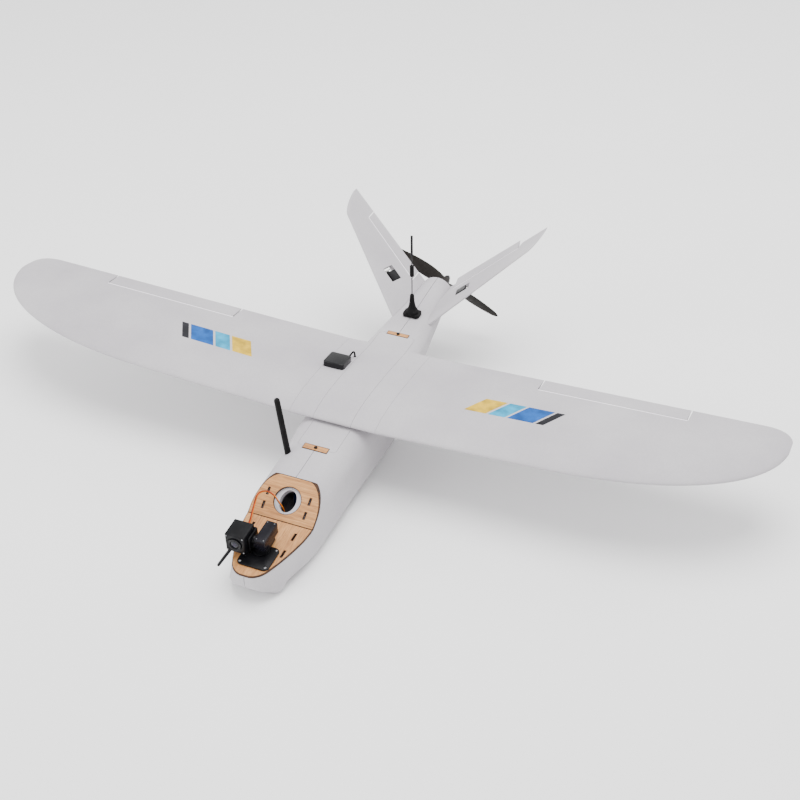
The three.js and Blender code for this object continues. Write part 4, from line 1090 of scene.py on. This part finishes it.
# ---------------------------------------------------------------- antennas, probe and GPS
whip_frame = shift(0, 242.5, 112.7) @ turn(-0.8, "Y")
cone = turned(
    [(10.5, 3), (10.3, 6), (10, 8.5), (8.6, 11), (7, 14), (5.6, 18), (4.6, 24), (3.9, 31), (3.4, 38),
     (3, 39)],
    whip_frame, 64,
)
foot = rounded_prism(-14, 14, -10.3, 10.3, 0.3, 5, 5, whip_frame)
foot = join(foot, cone)
foot.name = "whip_foot"
soften(foot, 0.0)
place(dress(foot, RUBBER), "airframe", "black_plastic", "antenna_base")


def whip_rod(low, high, radius, name, material, slot):
    profile = [(radius * 0.7, low), (radius, low + 0.5), (radius, high - 0.5), (radius * 0.7, high)]
    piece = turned(profile, whip_frame, 32, name)
    smooth(piece)
    return place(dress(piece, material), "airframe", slot)


whip = whip_rod(39.3, 143, 0.9, "whip_wire", BLACK_GLOSS, "black_plastic")
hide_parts("antenna_whip")
whip_rod(74, 94, 3.5, "whip_sleeve", RUBBER, "black_plastic")
whip_rod(113, 149, 2.0, "whip_tip", BLACK_GLOSS, "black_plastic")
stub_frame = along(STUB_BASE, STUB_TIP)
stub = turned(
    [(4.7, -14), (4.7, 2), (4.7, 8), (4.3, 9), (4.6, 10), (4.5, 60), (4.35, 91), (4.0, 93.6), (3.0, 94.8),
     (1, 95)],
    stub_frame, 48, "stub_sleeve",
)
smooth(stub)
place(dress(stub, RUBBER), "airframe", "black_plastic", "stub_antenna")
probe = turned(
    [(2.4, 0), (2.4, 60), (2.2, 66), (2.2, 74), (1.9, 76), (1.1, 76.5), (1.0, 74)],
    along((PROBE_X, -282, PROBE_Z), (PROBE_X, -358.5, PROBE_Z)), 32, "probe_tube",
)
smooth(probe)
place(dress(probe, CARBON), "airframe", "black_plastic", "pitot_tube")
refine("gps_module", BLACK_GLOSS, "black_plastic", 1.6, 4)

# ---------------------------------------------------------------- inside pieces
for node, material in (
    ("spar_joiner", PLYWOOD), ("wing_spar_left", CARBON), ("wing_spar_right", CARBON),
    ("battery", BATTERY), ("receiver", BLACK), ("flight_controller", BOARD),
    ("speed_controller", BLACK), ("video_transmitter", STEEL),
):
    dress(frame["nodes"][node], material)


# ---------------------------------------------------------------- plain stripes on the wing
def film(name, x0, x1, y0, y1, slant, material, side):
    """A thin slanted stripe that lies on the wing's upper face."""
    columns, rows = 10, 8
    points = []
    for lift in (0.0, 0.12):
        for i in range(columns + 1):
            for k in range(rows + 1):
                y = y0 + (y1 - y0) * k / rows
                x = x0 + (x1 - x0) * i / columns + slant * k / rows
                points.append((side * x, y, wing_top(x, y) + lift))
    across = rows + 1
    layer = (columns + 1) * across
    faces = []
    for i in range(columns):
        for k in range(rows):
            a = i * across + k
            loop = (a, a + across, a + across + 1, a + 1)
            faces.append(loop)
            faces.append(tuple(v + layer for v in reversed(loop)))
    rim = [i * across for i in range(columns + 1)]
    rim += [columns * across + k for k in range(1, across)]
    rim += [i * across + rows for i in range(columns - 1, -1, -1)]
    rim += [k for k in range(rows - 1, 0, -1)]
    for a, b in zip(rim, rim[1:] + rim[:1]):
        faces.append((a, b, b + layer, a + layer))
    piece = make(name, points, faces)
    smooth(piece)
    place(dress(piece, material), "airframe", "foam")


STRIPES = ((178, 34, "film_yellow"), (216, 26, "film_cyan"), (246, 40, "film_blue"), (290, 12, "film_black"))
for side, word in ((1, "left"), (-1, "right")):
    for start, width, colour in STRIPES:
        film(f"{colour}_{word}", start, start + width, 12, 52, 22, FILMS[colour], side)

# ---------------------------------------------------------------- stage
floor_paint = Paint("floor", 0.9, specular=0.1)
floor_paint.colour(floor_paint.ramp(floor_paint.noise(2, 2), (0.3, 0.92), (0.7, 0.94)))
FLOOR_REACH, FLOOR_Z = 9000, -0.2
floor_corners = [(x * FLOOR_REACH, y * FLOOR_REACH, FLOOR_Z) for x, y in ((-1, -1), (1, -1), (1, 1), (-1, 1))]
floor = make("floor", floor_corners, [(0, 1, 2, 3)])
dress(floor, floor_paint.material)


def lamp(name, position, target, size, power):
    data = bpy.data.lights.new(name, "AREA")
    data.shape = "DISK"
    data.size = size
    data.energy = power
    light = bpy.data.objects.new(name, data)
    aim = Vector(target) - Vector(position)
    light.matrix_world = shift(*position) @ aim.to_track_quat("-Z", "Y").to_matrix().to_4x4()
    bpy.context.scene.collection.objects.link(light)


lamp("top_softbox", (0.2, 0.3, 3.0), (0, 0, 0), 2.6, 120)
lamp("front_softbox", (-2.2, -2.2, 1.6), (0, 0, 0.1), 2.0, 50)
lamp("rim_softbox", (1.6, 2.4, 1.8), (0, 0, 0.1), 1.6, 18)
world = bpy.data.worlds.new("studio")
world.use_nodes = True
world.node_tree.nodes["Background"].inputs["Color"].default_value = (1, 1, 1, 1)
world.node_tree.nodes["Background"].inputs["Strength"].default_value = 1.35
bpy.context.scene.world = world

bpy.context.view_layer.update()
